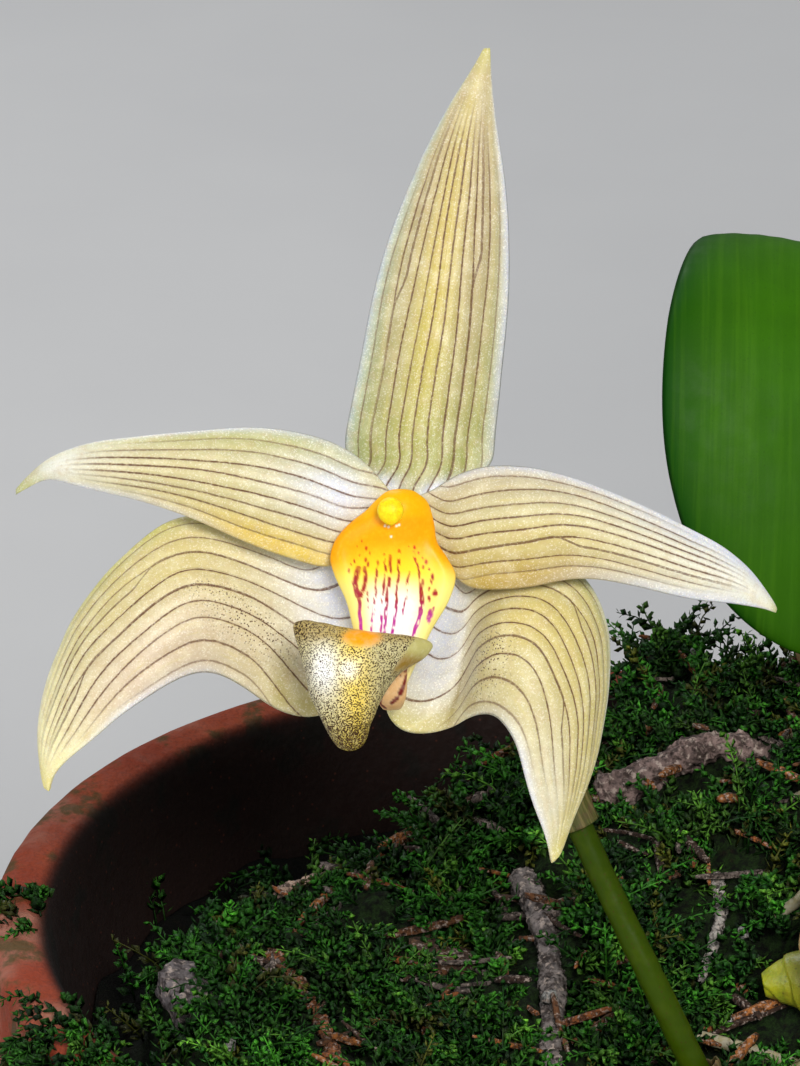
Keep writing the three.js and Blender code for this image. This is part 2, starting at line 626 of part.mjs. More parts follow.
const COLUMN_FOOT = marginRows([
  [-1.1, 5.2, 1.4, 5.2, 3.6, 3.6],
  [-2.1, 4.7, 2.3, 4.7, 3.4, 4.6],
  [-2.9, 4.1, 3.1, 4.1, 3.2, 5],
  [-3.9, 3.1, 3.5, 3.1, 3, 5.2],
  [-6.0, 1.5, 3.9, 1.5, 2.8, 4.8],
  [-7.4, -0.2, 4.2, -0.2, 2.8, 4.2],
  [-7.9, -2.1, 5.4, -2.1, 3, 3.8],
  [-7.4, -4.0, 6.3, -4.0, 3.1, 3.6],
  [-6.1, -6.9, 5.5, -6.9, 3.1, 3.4],
  [-5.3, -10.0, 3.7, -10.0, 2.9, 3.1],
  [-4.3, -13.6, 2.0, -13.6, 2.2, 2.3],
  [-2.7, -16.4, 0.7, -16.4, 1, 1],
  [-1.8, -17.6, 0.1, -17.6, 0.4, 0.4],
]);

const LIP_NET = depthRows([
  [[-1.9, -18.9, -0.8], [-1.4, -18.9, -0.7], [-0.9, -18.9, -0.7], [-0.4, -18.9, -0.7], [0.1, -18.9, -0.8]],
  [[-2.9, -17.2, 2.6], [-2.0, -17.3, 2.9], [-1.1, -17.3, 3], [-0.2, -17.2, 2.9], [0.7, -17.0, 2.6]],
  [[-5.4, -13.6, 5.2], [-3.8, -13.7, 5.5], [-2.3, -13.8, 5.6], [-0.7, -13.7, 5.5], [0.9, -13.4, 5.2]],
  [[-8.8, -10.9, 6.6], [-6.4, -11.4, 7.2], [-3.8, -11.7, 7.4], [-1.4, -11.9, 7.2], [1.4, -12.0, 6.6]],
  [[-12.0, -9.5, 7.6], [-8.6, -10.2, 9.4], [-4.5, -11.0, 10.2], [-0.6, -11.4, 9.6], [3.6, -11.7, 7.2]],
  [[-11.5, -11.9, 8], [-8.9, -12.4, 10.6], [-5.2, -13.2, 12], [-1.7, -13.1, 10.8], [1.2, -12.9, 7.4]],
  [[-10.8, -14.1, 8.2], [-8.6, -14.9, 10.8], [-5.7, -15.8, 12.2], [-2.9, -15.5, 10.8], [-0.8, -14.9, 7.8]],
  [[-10.1, -17.2, 8.4], [-8.1, -18.1, 10.4], [-5.8, -18.8, 11.4], [-3.7, -18.4, 10.2], [-2.3, -17.7, 8]],
  [[-8.8, -19.8, 8.4], [-7.4, -20.5, 9.8], [-5.7, -21.0, 10.3], [-4.3, -20.6, 9.4], [-3.3, -19.9, 8]],
  [[-7.6, -22.0, 8.3], [-6.7, -22.5, 9], [-5.7, -22.8, 9.2], [-4.8, -22.6, 8.8], [-4.2, -22.1, 8.1]],
  [[-6.4, -23.3, 8.3], [-6.1, -23.4, 8.4], [-5.8, -23.4, 8.4], [-5.5, -23.4, 8.4], [-5.2, -23.3, 8.3]],
]);

// The column: its foot is the broad shield below the anther, its core reaches back to the ovary
function columnBody(extra) {
  const shield = blade(netSurface(COLUMN_FOOT), 12, 6, COLUMN_THICKNESS + 2 * extra);
  const core = new THREE.CylinderGeometry(CORE_RADIUS + extra, CORE_RADIUS + 0.5 + extra, 10, 10)
    .rotateX(Math.PI / 2)
    .translate(...CORE_CENTRE, -1.1);
  return shield.add(solidOf(core));
}

const antherBody = () =>
  solidOf(new THREE.SphereGeometry(1.5, 10, 7).scale(1, 1, 0.75).translate(-1.05, 3.3, 7.3));

function makeFlower() {
  const column = columnBody(0);
  const clearColumn = columnBody(CLEARANCE);
  const lip = (extra) => blade(netSurface(LIP_NET), 16, 8, LIP_THICKNESS + 2 * extra);
  const tepals = {
    petal_left: [LEFT_PETAL, 13, 6],
    petal_right: [RIGHT_PETAL, 13, 6],
    sepal_dorsal: [DORSAL_SEPAL, 13, 6],
    sepal_lateral_left: [LEFT_LATERAL_SEPAL, 14, 7],
    sepal_lateral_right: [RIGHT_LATERAL_SEPAL, 15, 8],
  };
  addNode(flower, "column", column, COLUMN);
  addNode(flower, "anther_cap", antherBody(), ANTHER);
  addNode(flower, "lip", cut(lip(0), [clearColumn]), LIP);
  const inFront = [clearColumn, lip(CLEARANCE)];
  for (const [name, [net, along, across]] of Object.entries(tepals)) {
    const surface = netSurface(net);
    addNode(flower, name, cut(blade(surface, along, across, TEPAL_THICKNESS), inFront), TEPAL);
    inFront.push(blade(surface, along, across, TEPAL_THICKNESS + 2 * CLEARANCE));
  }
  const clearFlower = columnBody(CLEARANCE).transform(flower.matrix.elements);
  addNode(potted, "ovary", cut(ovaryBody(0), [clearFlower]), SCAPE);
}

// Sticks and bark chips that lie on the moss
const STICKS = [
  { name: "stick_right", ends: [[8.5, 13], [31, 16]], radius: 2.7, bend: 0.8, look: BARK },
  { name: "stick_front", ends: [[-2, 0], [2, -47]], radius: 2, bend: 2, look: BARK },
  { name: "twig_left", ends: [[-42, -1], [-25, 6]], radius: 1, bend: -1, look: TWIG },
  { name: "twig_front", ends: [[-34, -15], [-24, -43]], radius: 1.2, bend: 1.5, look: BARK },
  { name: "twig_pale", ends: [[23, -6], [21, -24]], radius: 1, bend: 1, look: TWIG },
];
const CHIPS = [
  { name: "bark_chip_front", at: [-9, -50], size: [9, 6, 3], turn: 0.6 },
  { name: "bark_chip_left", at: [-44, -22], size: [12, 7, 3.5], turn: 1.9 },
  { name: "bark_chip_back", at: [-14, 44], size: [13, 8, 4], turn: 0.2 },
  { name: "bark_chip_middle", at: [-12, -16], size: [10, 6, 3], turn: 2.6 },
];

function stickBody({ ends: [[xa, ya], [xb, yb]], radius, bend }, extra) {
  const lift = 0.35 * radius;
  const [dx, dy] = [xb - xa, yb - ya];
  const long = Math.hypot(dx, dy);
  const stations = [0, 0.3, 0.65, 1].map((share) => {
    const sway = (bend * Math.sin(Math.PI * share * 1.3)) / long;
    return onMoss(xa + dx * share - dy * sway, ya + dy * share + dx * sway, lift);
  });
  const rough = (along) => radius * (1 - 0.25 * along + 0.08 * Math.sin(25 * along)) + extra;
  return stem(curveOf(stations), rough, 6, 8);
}

function chipBody({ at: [x, y], size: [long, wide, thick], turn }, extra) {
  const outline = [[-0.5, -0.2], [-0.3, -0.5], [0.4, -0.42], [0.5, 0.1], [0.25, 0.5], [-0.42, 0.4]];
  const grown = outline.map(([u, v]) => new THREE.Vector2(u * (long + 2 * extra), v * (wide + 2 * extra)));
  const slab = new THREE.ExtrudeGeometry(new THREE.Shape(grown), {
    depth: thick + 2 * extra,
    bevelEnabled: false,
  });
  slab.translate(0, 0, -extra - thick / 2);
  slab.rotateX(0.16).rotateY(-0.12).rotateZ(turn);
  return solidOf(slab.translate(...onMoss(x, y, 0.7)));
}

function makePlant() {
  const rhizomeClear = rhizomeBody(CLEARANCE);
  BULBS.forEach((bulb, k) => addNode(potted, `pseudobulb_${k + 1}`, cut(bulbBody(bulb, 0), [rhizomeClear]), BULB));
  const bulbsClear = BULBS.map((bulb) => bulbBody(bulb, CLEARANCE));
  LEAVES.forEach((leaf) => addNode(potted, leaf.name, cut(leafBody(leaf), bulbsClear), LEAF));
  addNode(potted, "new_shoot", cut(shootBody(0), [rhizomeClear, ...bulbsClear]), BULB);
  STICKS.forEach((stick) => addNode(potted, stick.name, stickBody(stick, 0), stick.look));
  CHIPS.forEach((chip) => addNode(potted, chip.name, chipBody(chip, 0), BARK));
  const bedded = [
    rhizomeClear,
    ...bulbsClear,
    shootBody(CLEARANCE),
    scapeBody(CLEARANCE),
    ...STICKS.map((stick) => stickBody(stick, CLEARANCE)),
    ...CHIPS.map((chip) => chipBody(chip, CLEARANCE)),
  ];
  addNode(potted, "moss", cut(mossBody(), bedded), MOSS);
}

makePot();
makeBarkMix();
makePlant();
makeStems();
makeFlower();
potted.add(flower);

export default potted;
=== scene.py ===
# Looks of a potted Bulbophyllum lobbii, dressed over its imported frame.
# Shapes are worked out in millimetres in the part's own frame and scaled to metres by piece().
import math

import bpy
import numpy as np
from mathutils import Matrix, Vector, noise


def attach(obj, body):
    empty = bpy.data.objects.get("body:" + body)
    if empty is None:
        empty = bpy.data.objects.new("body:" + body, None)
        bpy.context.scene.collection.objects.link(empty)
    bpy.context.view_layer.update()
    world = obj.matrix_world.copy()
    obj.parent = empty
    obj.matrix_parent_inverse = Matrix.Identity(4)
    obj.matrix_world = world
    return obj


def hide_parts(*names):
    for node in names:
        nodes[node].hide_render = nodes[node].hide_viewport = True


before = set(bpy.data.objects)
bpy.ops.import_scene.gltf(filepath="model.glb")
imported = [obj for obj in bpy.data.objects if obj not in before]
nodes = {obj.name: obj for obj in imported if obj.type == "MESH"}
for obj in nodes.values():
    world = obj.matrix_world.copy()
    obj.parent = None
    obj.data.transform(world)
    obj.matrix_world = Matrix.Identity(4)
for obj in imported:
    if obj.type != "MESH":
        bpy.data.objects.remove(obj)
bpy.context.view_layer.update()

MM = 0.001

# Dimensions shared with the frame
POT_HEIGHT = 118
RIM_RADIUS = 71
RIM_BAND = 24
RIM_LIP = 4
FOOT_RADIUS = 48
POT_WALL = 5
POT_FLOOR = 6
DRAIN_RADIUS = 5
DRAIN_CIRCLE = 24
MIX_TOP = 88
CLEARANCE = 0.35
FLOWER_CENTRE = np.array([-17.5, -56, 196])
FLOWER_ELEVATION = math.radians(25)
SIGHT_DISTANCE = 560
TEPAL_THICKNESS = 0.8
COLUMN_THICKNESS = 1.8
LIP_THICKNESS = 1.5
CORE_CENTRE = (0.3, 3.0)
CORE_RADIUS = 1.7
RHIZOME_RADIUS = 2.8
SCAPE_RADIUS = 1.7
PETIOLE_RADIUS = 2
LEAF_THICKNESS = 1.5
TURN = 2 * math.pi


# Numbers: easing, seeded draws, noise and colours
def smooth(low, high, x):
    t = np.clip((np.asarray(x, float) - low) / (high - low), 0, 1)
    return t * t * (3 - 2 * t)


def seeded(seed):
    state = seed
    while True:
        state = (state * 1664525 + 1013904223) & 0xFFFFFFFF
        yield state / 4294967296


def rough(points, size, seed=0.0):
    """Smooth noise between -1 and 1 at each point, whose lumps are about size mm across."""
    flat = np.reshape(points, (-1, 3)) / size + seed
    return np.array([noise.noise(p) for p in flat]).reshape(np.shape(points)[:-1])


def rgb(red, green, blue):
    share = np.array([red, green, blue]) / 255
    return np.where(share <= 0.04045, share / 12.92, ((share + 0.055) / 1.055) ** 2.4)


def unit(vectors):
    return vectors / np.maximum(np.linalg.norm(vectors, axis=-1, keepdims=True), 1e-9)


def blend(ground, colour, share):
    return ground + (colour - ground) * share


def painted(ground, colour, share):
    """A grid's colours, blended towards another colour by each place's share."""
    return blend(ground, colour, np.asarray(share)[..., None])


def dome(place, power):
    """1 in the middle and 0 where place is -1 or 1, and the flatter between for a high power."""
    return np.sqrt(np.clip(1 - np.abs(place) ** power, 0, 1))


def circle(sides):
    return np.arange(sides) * TURN / sides


def round_grid(start, end, rows, sides):
    """Places along, from start to end, and angles all round, as two grids."""
    return np.meshgrid(np.linspace(start, end, rows), circle(sides), indexing="ij")


def table(keys, *rows):
    """Rows of values as dictionaries with the same keys."""
    return [dict(zip(keys.split(), row)) for row in rows]


# Curves and nets: the same centripetal splines as the frame's
def spline(points, t):
    points = np.asarray(points, float)
    count = points.shape[-2]
    before = 2 * points[..., :1, :] - points[..., 1:2, :]
    after = 2 * points[..., -1:, :] - points[..., -2:-1, :]
    padded = np.concatenate([before, points, after], axis=-2)
    place = np.clip(np.asarray(t, float), 0, 1) * (count - 1)
    k = np.minimum(place.astype(int), count - 2)
    w = (place - k)[:, None]
    p0, p1, p2, p3 = (padded[..., k + i, :] for i in range(4))
    pairs = ((p0, p1), (p1, p2), (p2, p3))
    d0, d1, d2 = (np.linalg.norm(b - a, axis=-1, keepdims=True) ** 0.5 for a, b in pairs)
    d1 = np.where(d1 < 1e-4, 1.0, d1)
    d0 = np.where(d0 < 1e-4, d1, d0)
    d2 = np.where(d2 < 1e-4, d1, d2)
    m1 = ((p1 - p0) / d0 - (p2 - p0) / (d0 + d1) + (p2 - p1) / d1) * d1
    m2 = ((p2 - p1) / d1 - (p3 - p1) / (d1 + d2) + (p3 - p2) / d2) * d1
    return p1 + w * m1 + w**2 * (3 * (p2 - p1) - 2 * m1 - m2) + w**3 * (2 * (p1 - p2) + m1 + m2)


def even(points, share):
    """Points at shares of a curve's length."""
    samples = spline(points, np.linspace(0, 1, 201))
    steps = np.linalg.norm(np.diff(samples, axis=0), axis=1)
    lengths = np.concatenate([[0], np.cumsum(steps)])
    return spline(points, np.interp(np.asarray(share) * lengths[-1], lengths, np.linspace(0, 1, 201)))


def net(rows, t, u):
    columns = spline(np.swapaxes(np.asarray(rows, float), 0, 1), t)
    return spline(np.swapaxes(columns, 0, 1), u)


def tangents(points, share):
    nudge = 1e-3
    share = np.asarray(share)
    return unit(even(points, np.minimum(share + nudge, 1)) - even(points, np.maximum(share - nudge, 0)))


class Round:
    """Frames that run along a curve without twisting, to place points round it."""

    steps = 120

    def __init__(self, points):
        self.points = points
        along = np.linspace(0, 1, self.steps + 1)
        ahead = tangents(points, along)
        axis = np.zeros(3)
        axis[2 - int(np.argmin(np.abs(ahead[0])[::-1]))] = 1
        first = unit(np.cross(ahead[0], unit(np.cross(ahead[0], axis))))
        normals = [first]
        for a, b in zip(ahead, ahead[1:]):
            turned = Vector(a).rotation_difference(Vector(b)) @ Vector(normals[-1])
            normals.append(np.array(turned))
        self.along = along
        self.normals = np.array(normals)
        self.binormals = np.cross(ahead, self.normals)

    def place(self, along, angle, radius):
        """Points at shares of the length, angles and radii, arrays of one shape."""
        flat = np.ravel(along)
        shape = np.shape(along) + (3,)

        def pick(frames):
            columns = [np.interp(flat, self.along, frames[:, k]) for k in range(3)]
            return np.stack(columns, -1).reshape(shape)

        centre = even(self.points, flat).reshape(shape)
        out = np.cos(angle)[..., None] * pick(self.normals)
        out = out + np.sin(angle)[..., None] * pick(self.binormals)
        return centre + out * np.asarray(radius)[..., None]


# Faces and bodies
def grid_faces(rows, columns, closed=False, flip=False):
    index = np.arange(rows * columns).reshape(rows, columns)
    if closed:
        index = np.concatenate([index, index[:, :1]], axis=1)
    corners = [index[:-1, :-1], index[:-1, 1:], index[1:, 1:], index[1:, :-1]]
    faces = np.stack(corners, -1).reshape(-1, 4)
    return faces[:, ::-1] if flip else faces


def tube_body(rings):
    """A closed body from rings of points, with a fan over each end."""
    rows, around = rings.shape[:2]
    points = np.concatenate([rings.reshape(-1, 3), rings[0].mean(0)[None], rings[-1].mean(0)[None]])
    faces = [tuple(f) for f in grid_faces(rows, around, closed=True)]
    last = (rows - 1) * around
    for j in range(around):
        after = (j + 1) % around
        faces.append((rows * around, after, j))
        faces.append((rows * around + 1, last + j, last + after))
    return points, faces


def blade_body(front, back):
    """A closed thin body between two grids that share their outer edges."""
    rows, columns = front.shape[:2]
    border = np.ones((rows, columns), bool)
    border[1:-1, 1:-1] = False
    number = np.arange(rows * columns).reshape(rows, columns)
    behind = number.copy()
    behind[~border] = rows * columns + np.arange((~border).sum())
    points = np.concatenate([front.reshape(-1, 3), back[~border]])
    faces = grid_faces(rows, columns)
    faces = np.concatenate([faces, behind.ravel()[faces[:, ::-1]]])
    keep = np.concatenate([np.arange(rows * columns), number[~border]])
    return points, [tuple(f) for f in faces], keep


def normals_of(surface):
    along, across = np.gradient(surface, axis=0), np.gradient(surface, axis=1)
    return unit(np.cross(across, along))


def joined(bodies):
    points, faces, start = [], [], 0
    for body in bodies:
        points.append(body[0])
        faces += [tuple(i + start for i in face) for face in body[1]]
        start += len(body[0])
    return np.concatenate(points), faces


def linked(name, data):
    made = bpy.data.objects.new(name, data)
    bpy.context.scene.collection.objects.link(made)
    return made


def mesh_of(name, points, faces):
    mesh = bpy.data.meshes.new(name)
    mesh.from_pydata((np.asarray(points) * MM).tolist(), [], [tuple(map(int, f)) for f in faces])
    return mesh


def piece(name, body, look, stands_for=(), tint=None, values=None):
    """Makes an object of a body and puts it on the frame. tint and values belong to its points."""
    points, faces = body[:2]
    mesh = mesh_of(name, points, faces)
    mesh.update()
    mesh.shade_smooth()
    if tint is not None:
        colours = np.ones((len(points), 4))
        colours[:, :3] = tint
        mesh.attributes.new("tint", "FLOAT_COLOR", "POINT").data.foreach_set("color", colours.ravel())
    for key, numbers in (values or {}).items():
        column = np.ravel(np.broadcast_to(numbers, (len(points),))).astype(float)
        mesh.attributes.new(key, "FLOAT", "POINT").data.foreach_set("value", column)
    made = linked(name, mesh)
    mesh.materials.append(look)
    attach(made, "root")
    if stands_for:
        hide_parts(*stands_for)
    return made


# Materials
class Look:
    """A material: a Principled shader and the nodes that feed it. Textures are measured in mm."""

    def __init__(self, name, **constants):
        self.material = bpy.data.materials.new(name)
        self.material.use_nodes = True
        self.tree = self.material.node_tree
        self.shader = self.tree.nodes["Principled BSDF"]
        for key, value in constants.items():
            self.feed(self.shader.inputs[key.replace("_", " ")], value)
        place = self.node("TexCoord").outputs["Object"]
        scaled = self.node("VectorMath", operation="SCALE")
        self.feed(scaled.inputs[0], place)
        scaled.inputs["Scale"].default_value = 1 / MM
        self.place = scaled.outputs[0]

    def node(self, kind, **settings):
        made = self.tree.nodes.new("ShaderNode" + kind)
        for key, value in settings.items():
            setattr(made, key, value)
        return made

    def feed(self, socket, value):
        if isinstance(value, bpy.types.NodeSocket):
            self.tree.links.new(value, socket)
        elif socket.type == "RGBA":
            socket.default_value = (*value, 1)
        else:
            socket.default_value = value

    def set(self, key, value):
        self.feed(self.shader.inputs[key], value)

    def math(self, operation, *operands):
        made = self.node("Math", operation=operation)
        for socket, value in zip(made.inputs, operands):
            self.feed(socket, value)
        return made.outputs[0]

    def times(self, a, b):
        return self.math("MULTIPLY", a, b)

    def plus(self, a, b):
        return self.math("ADD", a, b)

    def times_plus(self, value, factor, added):
        return self.math("MULTIPLY_ADD", value, factor, added)

    def mix(self, share, a, b):
        made = self.node("Mix", data_type="RGBA")
        for number, value in ((0, share), (6, a), (7, b)):
            self.feed(made.inputs[number], value)
        return made.outputs[2]

    def step(self, value, low, high, start=0.0, end=1.0):
        """Eases from start to end as value goes from low to high."""
        made = self.node("MapRange", interpolation_type="SMOOTHSTEP")
        for socket, number in zip(made.inputs, (value, low, high, start, end)):
            self.feed(socket, number)
        return made.outputs[0]

    def patched(self, ground, colour, grain, low, high, most=1.0):
        """The ground colour, with patches of another where grain goes from low to high."""
        return self.mix(self.step(grain, low, high, 0, most), ground, colour)

    def roughen(self, grain, low, high):
        """Roughness from low to high over the middle range of a noise."""
        self.set("Roughness", self.step(grain, 0.3, 0.7, low, high))

    def stretched(self, stretch):
        made = self.node("VectorMath", operation="MULTIPLY")
        self.feed(made.inputs[0], self.place)
        made.inputs[1].default_value = stretch
        return made.outputs[0]

    def noise(self, size, detail=3, vector=None, roughness=0.55):
        made = self.node("TexNoise")
        self.feed(made.inputs["Vector"], vector or self.place)
        made.inputs["Scale"].default_value = 1 / size
        made.inputs["Detail"].default_value = detail
        made.inputs["Roughness"].default_value = roughness
        return made.outputs["Fac"]

    def cells(self, size, output="Distance", vector=None, feature="F1"):
        made = self.node("TexVoronoi", feature=feature)
        self.feed(made.inputs["Vector"], vector or self.place)
        made.inputs["Scale"].default_value = 1 / size
        return made.outputs[output]

    def value(self, name):
        return self.node("Attribute", attribute_name=name).outputs["Fac"]

    def tint(self):
        return self.node("Attribute", attribute_name="tint").outputs["Color"]

    def lengthwise(self, across, wide, long):
        """Texture places for streaks along a blade: a value across it, and the way along it."""
        made = self.node("CombineXYZ")
        self.feed(made.inputs[0], self.times(self.value(across), wide))
        self.feed(made.inputs[1], self.times(self.value("along"), long))
        return made.outputs[0]

    def draws(self, size):
        """Three values between 0 and 1 that differ from cell to cell."""
        made = self.node("SeparateColor")
        self.feed(made.inputs[0], self.cells(size, "Color"))
        return made.outputs

    def colour(self, value):
        self.set("Base Color", value)

    def bumped(self, height, depth, strength):
        """The finished material, with a bumpy surface: height from 0 to 1 stands for depth mm."""
        made = self.node("Bump")
        self.feed(made.inputs["Height"], height)
        made.inputs["Distance"].default_value = depth * MM
        made.inputs["Strength"].default_value = strength
        self.set("Normal", made.outputs[0])
        return self.material


def tepal_look():
    look = Look(
        "tepal",
        Subsurface_Weight=0.35,
        Subsurface_Radius=(1.0, 0.75, 0.45),
        Subsurface_Scale=0.6 * MM,
        Specular_IOR_Level=0.45,
        Sheen_Weight=0.12,
        Sheen_Roughness=0.4,
    )
    # Veins, whose number counts up across the blade and whose spacing is in mm
    wander = look.times_plus(look.noise(1.1, 2), 0.07, look.value("vein"))
    folded = look.math("ABSOLUTE", look.math("SUBTRACT", look.math("FRACT", look.plus(wander, 0.465)), 0.5))
    off_vein = look.times(folded, look.value("vein_gap"))
    width = look.times_plus(look.noise(0.5, 2), 0.14, 0.03)
    line = look.step(look.math("SUBTRACT", off_vein, width), -0.05, 0.05, 0.92, 0)
    off_branch = look.math("ABSOLUTE", look.times_plus(look.noise(1.1, 2), 0.12, look.value("branch")))
    fork = look.step(look.math("SUBTRACT", off_branch, width), 0.0, 0.09, 0.8, 0)
    line = look.math("MAXIMUM", line, fork)
    broken = look.step(look.noise(0.35, 3), 0.3, 0.52, 0.5, 1)
    ink = look.times(look.times(line, broken), look.value("vein_ink"))
    halo = look.times(look.step(off_vein, 0.05, 0.42, 0.2, 0), look.value("vein_ink"))
    # Flesh: washes of colour, cloudy patches, fine streaks along the blade and bright crystal cells, whose white
    # is painted sparkle, strongest under the frost and highlight washes
    cloudy = look.patched(look.tint(), rgb(250, 242, 206), look.noise(2.4, 4), 0.42, 0.72, 0.24)
    outside_frost_and_highlight = look.times_plus(look.value("frost_and_highlight"), -0.85, 1)
    dusk = look.times(look.step(look.noise(1.5, 3), 0.5, 0.68, 0, 0.26), outside_frost_and_highlight)
    dusky = look.mix(dusk, cloudy, rgb(196, 170, 128))
    streak = look.lengthwise("vein", 5, 0.22)
    fibre = look.times(look.step(look.noise(1.0, 3, streak), 0.5, 0.75, 0, 0.26), outside_frost_and_highlight)
    streaked = look.mix(fibre, dusky, rgb(214, 198, 104))
    crystal = look.draws(0.13)
    bright = look.step(crystal[0], 0.75, 0.97, 0, 0.3)
    bright = look.times(bright, look.times_plus(look.value("frost_and_highlight"), 1.2, 1))
    dull = look.step(crystal[1], 0.7, 1.0, 0, 0.22)
    grained = look.mix(bright, streaked, rgb(255, 253, 240))
    grained = look.mix(dull, grained, rgb(176, 160, 104))
    haloed = look.mix(halo, grained, rgb(164, 128, 74))
    veined = look.mix(ink, haloed, rgb(92, 50, 18))
    # Tiny dark specks where the blade has them
    dot = look.step(look.cells(0.34), 0.2, 0.33, 0.9, 0)
    speckled = look.times(dot, look.value("speck"))
    look.colour(look.mix(speckled, veined, rgb(84, 52, 30)))
    look.set("Roughness", look.step(crystal[2], 0.2, 0.95, 0.6, 0.3))
    grain = look.times_plus(look.cells(0.13), -0.6, look.times(ink, -0.8))
    return look.bumped(look.plus(grain, 1), 0.05, 0.7)


def column_look():
    look = Look(
        "column",
        Roughness=0.42,
        Specular_IOR_Level=0.16,
        Subsurface_Weight=0.06,
        Subsurface_Radius=(1.0, 0.7, 0.3),
        Subsurface_Scale=0.4 * MM,
        Coat_Weight=0.05,
        Coat_Roughness=0.25,
    )
    mottled = look.patched(look.tint(), rgb(255, 232, 60), look.noise(0.5, 4), 0.45, 0.7, 0.1)
    look.colour(mottled)
    return look.bumped(look.noise(0.35, 3), 0.04, 0.5)


def lip_look():
    look = Look(
        "lip",
        Subsurface_Weight=0.08,
        Subsurface_Radius=(1.0, 0.7, 0.3),
        Subsurface_Scale=0.4 * MM,
        Specular_IOR_Level=0.22,
    )
    flesh = look.patched(look.tint(), rgb(246, 240, 214), look.noise(0.7, 4), 0.4, 0.7, 0.12)
    wobble = look.node("VectorMath", operation="ADD")
    look.feed(wobble.inputs[0], look.place)
    look.feed(wobble.inputs[1], look.node("TexNoise").outputs["Color"])
    spread = look.value("dots")
    size = look.times_plus(spread, 0.36, 0.29)
    off_dot = look.math("SUBTRACT", look.cells(0.195, vector=wobble.outputs[0]), size)
    dot = look.step(off_dot, -0.1, 0.04, 1, 0)
    blotch = look.times(look.step(look.noise(0.5, 3), 0.32, 0.55, 0.62, 1), dot)
    strength = look.times(blotch, look.step(spread, 0.02, 0.3))
    look.colour(look.mix(strength, flesh, rgb(56, 30, 4)))
    look.roughen(look.noise(0.4, 2), 0.3, 0.5)
    return look.bumped(look.times_plus(dot, -0.5, look.noise(0.3, 2)), 0.05, 0.8)


def anther_look():
    look = Look("anther", Subsurface_Weight=0.4, Subsurface_Scale=0.5 * MM, Specular_IOR_Level=0.3)
    look.colour(look.patched(rgb(252, 208, 2), rgb(254, 226, 14), look.noise(0.6, 3), 0.4, 0.65))
    look.roughen(look.noise(0.5, 2), 0.4, 0.6)
    return look.bumped(look.noise(0.35, 3), 0.05, 0.5)


def leaf_look():
    look = Look("leaf", Specular_IOR_Level=0.1)
    fibre = look.lengthwise("across", 1.0, 0.03)
    fine = look.noise(1.1, 4, fibre)
    mottled = look.patched(look.tint(), rgb(34, 72, 4), look.noise(11, 4), 0.38, 0.66, 0.3)
    lined = look.patched(mottled, rgb(92, 144, 22), fine, 0.45, 0.7, 0.12)
    pores = look.step(look.cells(0.8), 0.08, 0.2, 0.25, 0)
    look.colour(look.mix(pores, lined, rgb(36, 66, 16)))
    look.roughen(look.noise(3, 3), 0.5, 0.64)
    height = look.times_plus(fine, 0.5, look.times(look.noise(0.6, 2), 0.4))
    return look.bumped(height, 0.09, 0.5)


def bulb_look():
    look = Look("bulb", Subsurface_Weight=0.12, Subsurface_Scale=1 * MM, Coat_Weight=0.15, Coat_Roughness=0.3)
    lines = look.stretched((1, 1, 0.12))
    streaked = look.patched(look.tint(), rgb(96, 116, 34), look.noise(1.4, 4, lines), 0.42, 0.7, 0.5)
    scarred = look.patched(streaked, rgb(122, 92, 44), look.noise(2.6, 5), 0.6, 0.72, 0.6)
    freckle = look.step(look.cells(0.9), 0.1, 0.2, 0.5, 0)
    look.colour(look.mix(freckle, scarred, rgb(78, 84, 24)))
    look.roughen(look.noise(1.5, 3), 0.34, 0.55)
    return look.bumped(look.plus(look.noise(0.9, 4, lines), look.noise(0.4, 2)), 0.16, 0.6)


def stalk_look():
    look = Look("stalk", Specular_IOR_Level=0.1)
    speck = look.step(look.cells(0.6), 0.12, 0.24, 0.45, 0)
    shaded = look.patched(look.tint(), rgb(66, 80, 6), look.noise(2.2, 3), 0.4, 0.7, 0.3)
    look.colour(look.mix(speck, shaded, rgb(66, 36, 22)))
    look.roughen(look.noise(1, 2), 0.35, 0.5)
    return look.bumped(look.noise(0.7, 3), 0.1, 0.5)


def papery_look():
    look = Look("papery", Specular_IOR_Level=0.35, Subsurface_Weight=0.1, Subsurface_Scale=0.4 * MM)
    fibre = look.lengthwise("across", 1.0, 0.08)
    fine = look.noise(0.5, 4, fibre)
    # Brown patches and fibres, all darkened as painted shade
    aged_and_shaded = look.patched(look.tint(), rgb(76, 60, 34), look.noise(1.8, 4), 0.4, 0.68)
    look.colour(look.patched(aged_and_shaded, rgb(150, 130, 84), fine, 0.42, 0.68, 0.4))
    look.roughen(fine, 0.5, 0.8)
    return look.bumped(fine, 0.22, 0.9)


def bark_look(name, size):
    """Wood and bark: tint carries the piece's own colour, size is that of its flakes in mm."""
    look = Look(name, Specular_IOR_Level=0.25)
    flaky = look.noise(size, 6, roughness=0.7)
    dark = look.mix(look.step(flaky, 0.4, 0.56, 0.85, 0), look.tint(), rgb(40, 29, 24))
    pale = look.patched(dark, rgb(190, 172, 160), look.noise(size * 0.6, 5), 0.53, 0.64, 0.6)
    look.colour(pale)
    look.roughen(flaky, 0.75, 0.95)
    return look.bumped(look.plus(flaky, look.step(look.cells(size * 0.8), 0.1, 0.5)), 0.5, 0.9)


def root_look():
    look = Look("rhizome", Specular_IOR_Level=0.3)
    flaky = look.noise(0.8, 5)
    look.colour(look.patched(look.tint(), rgb(150, 140, 104), flaky, 0.4, 0.62))
    look.roughen(flaky, 0.6, 0.85)
    return look.bumped(flaky, 0.25, 0.8)


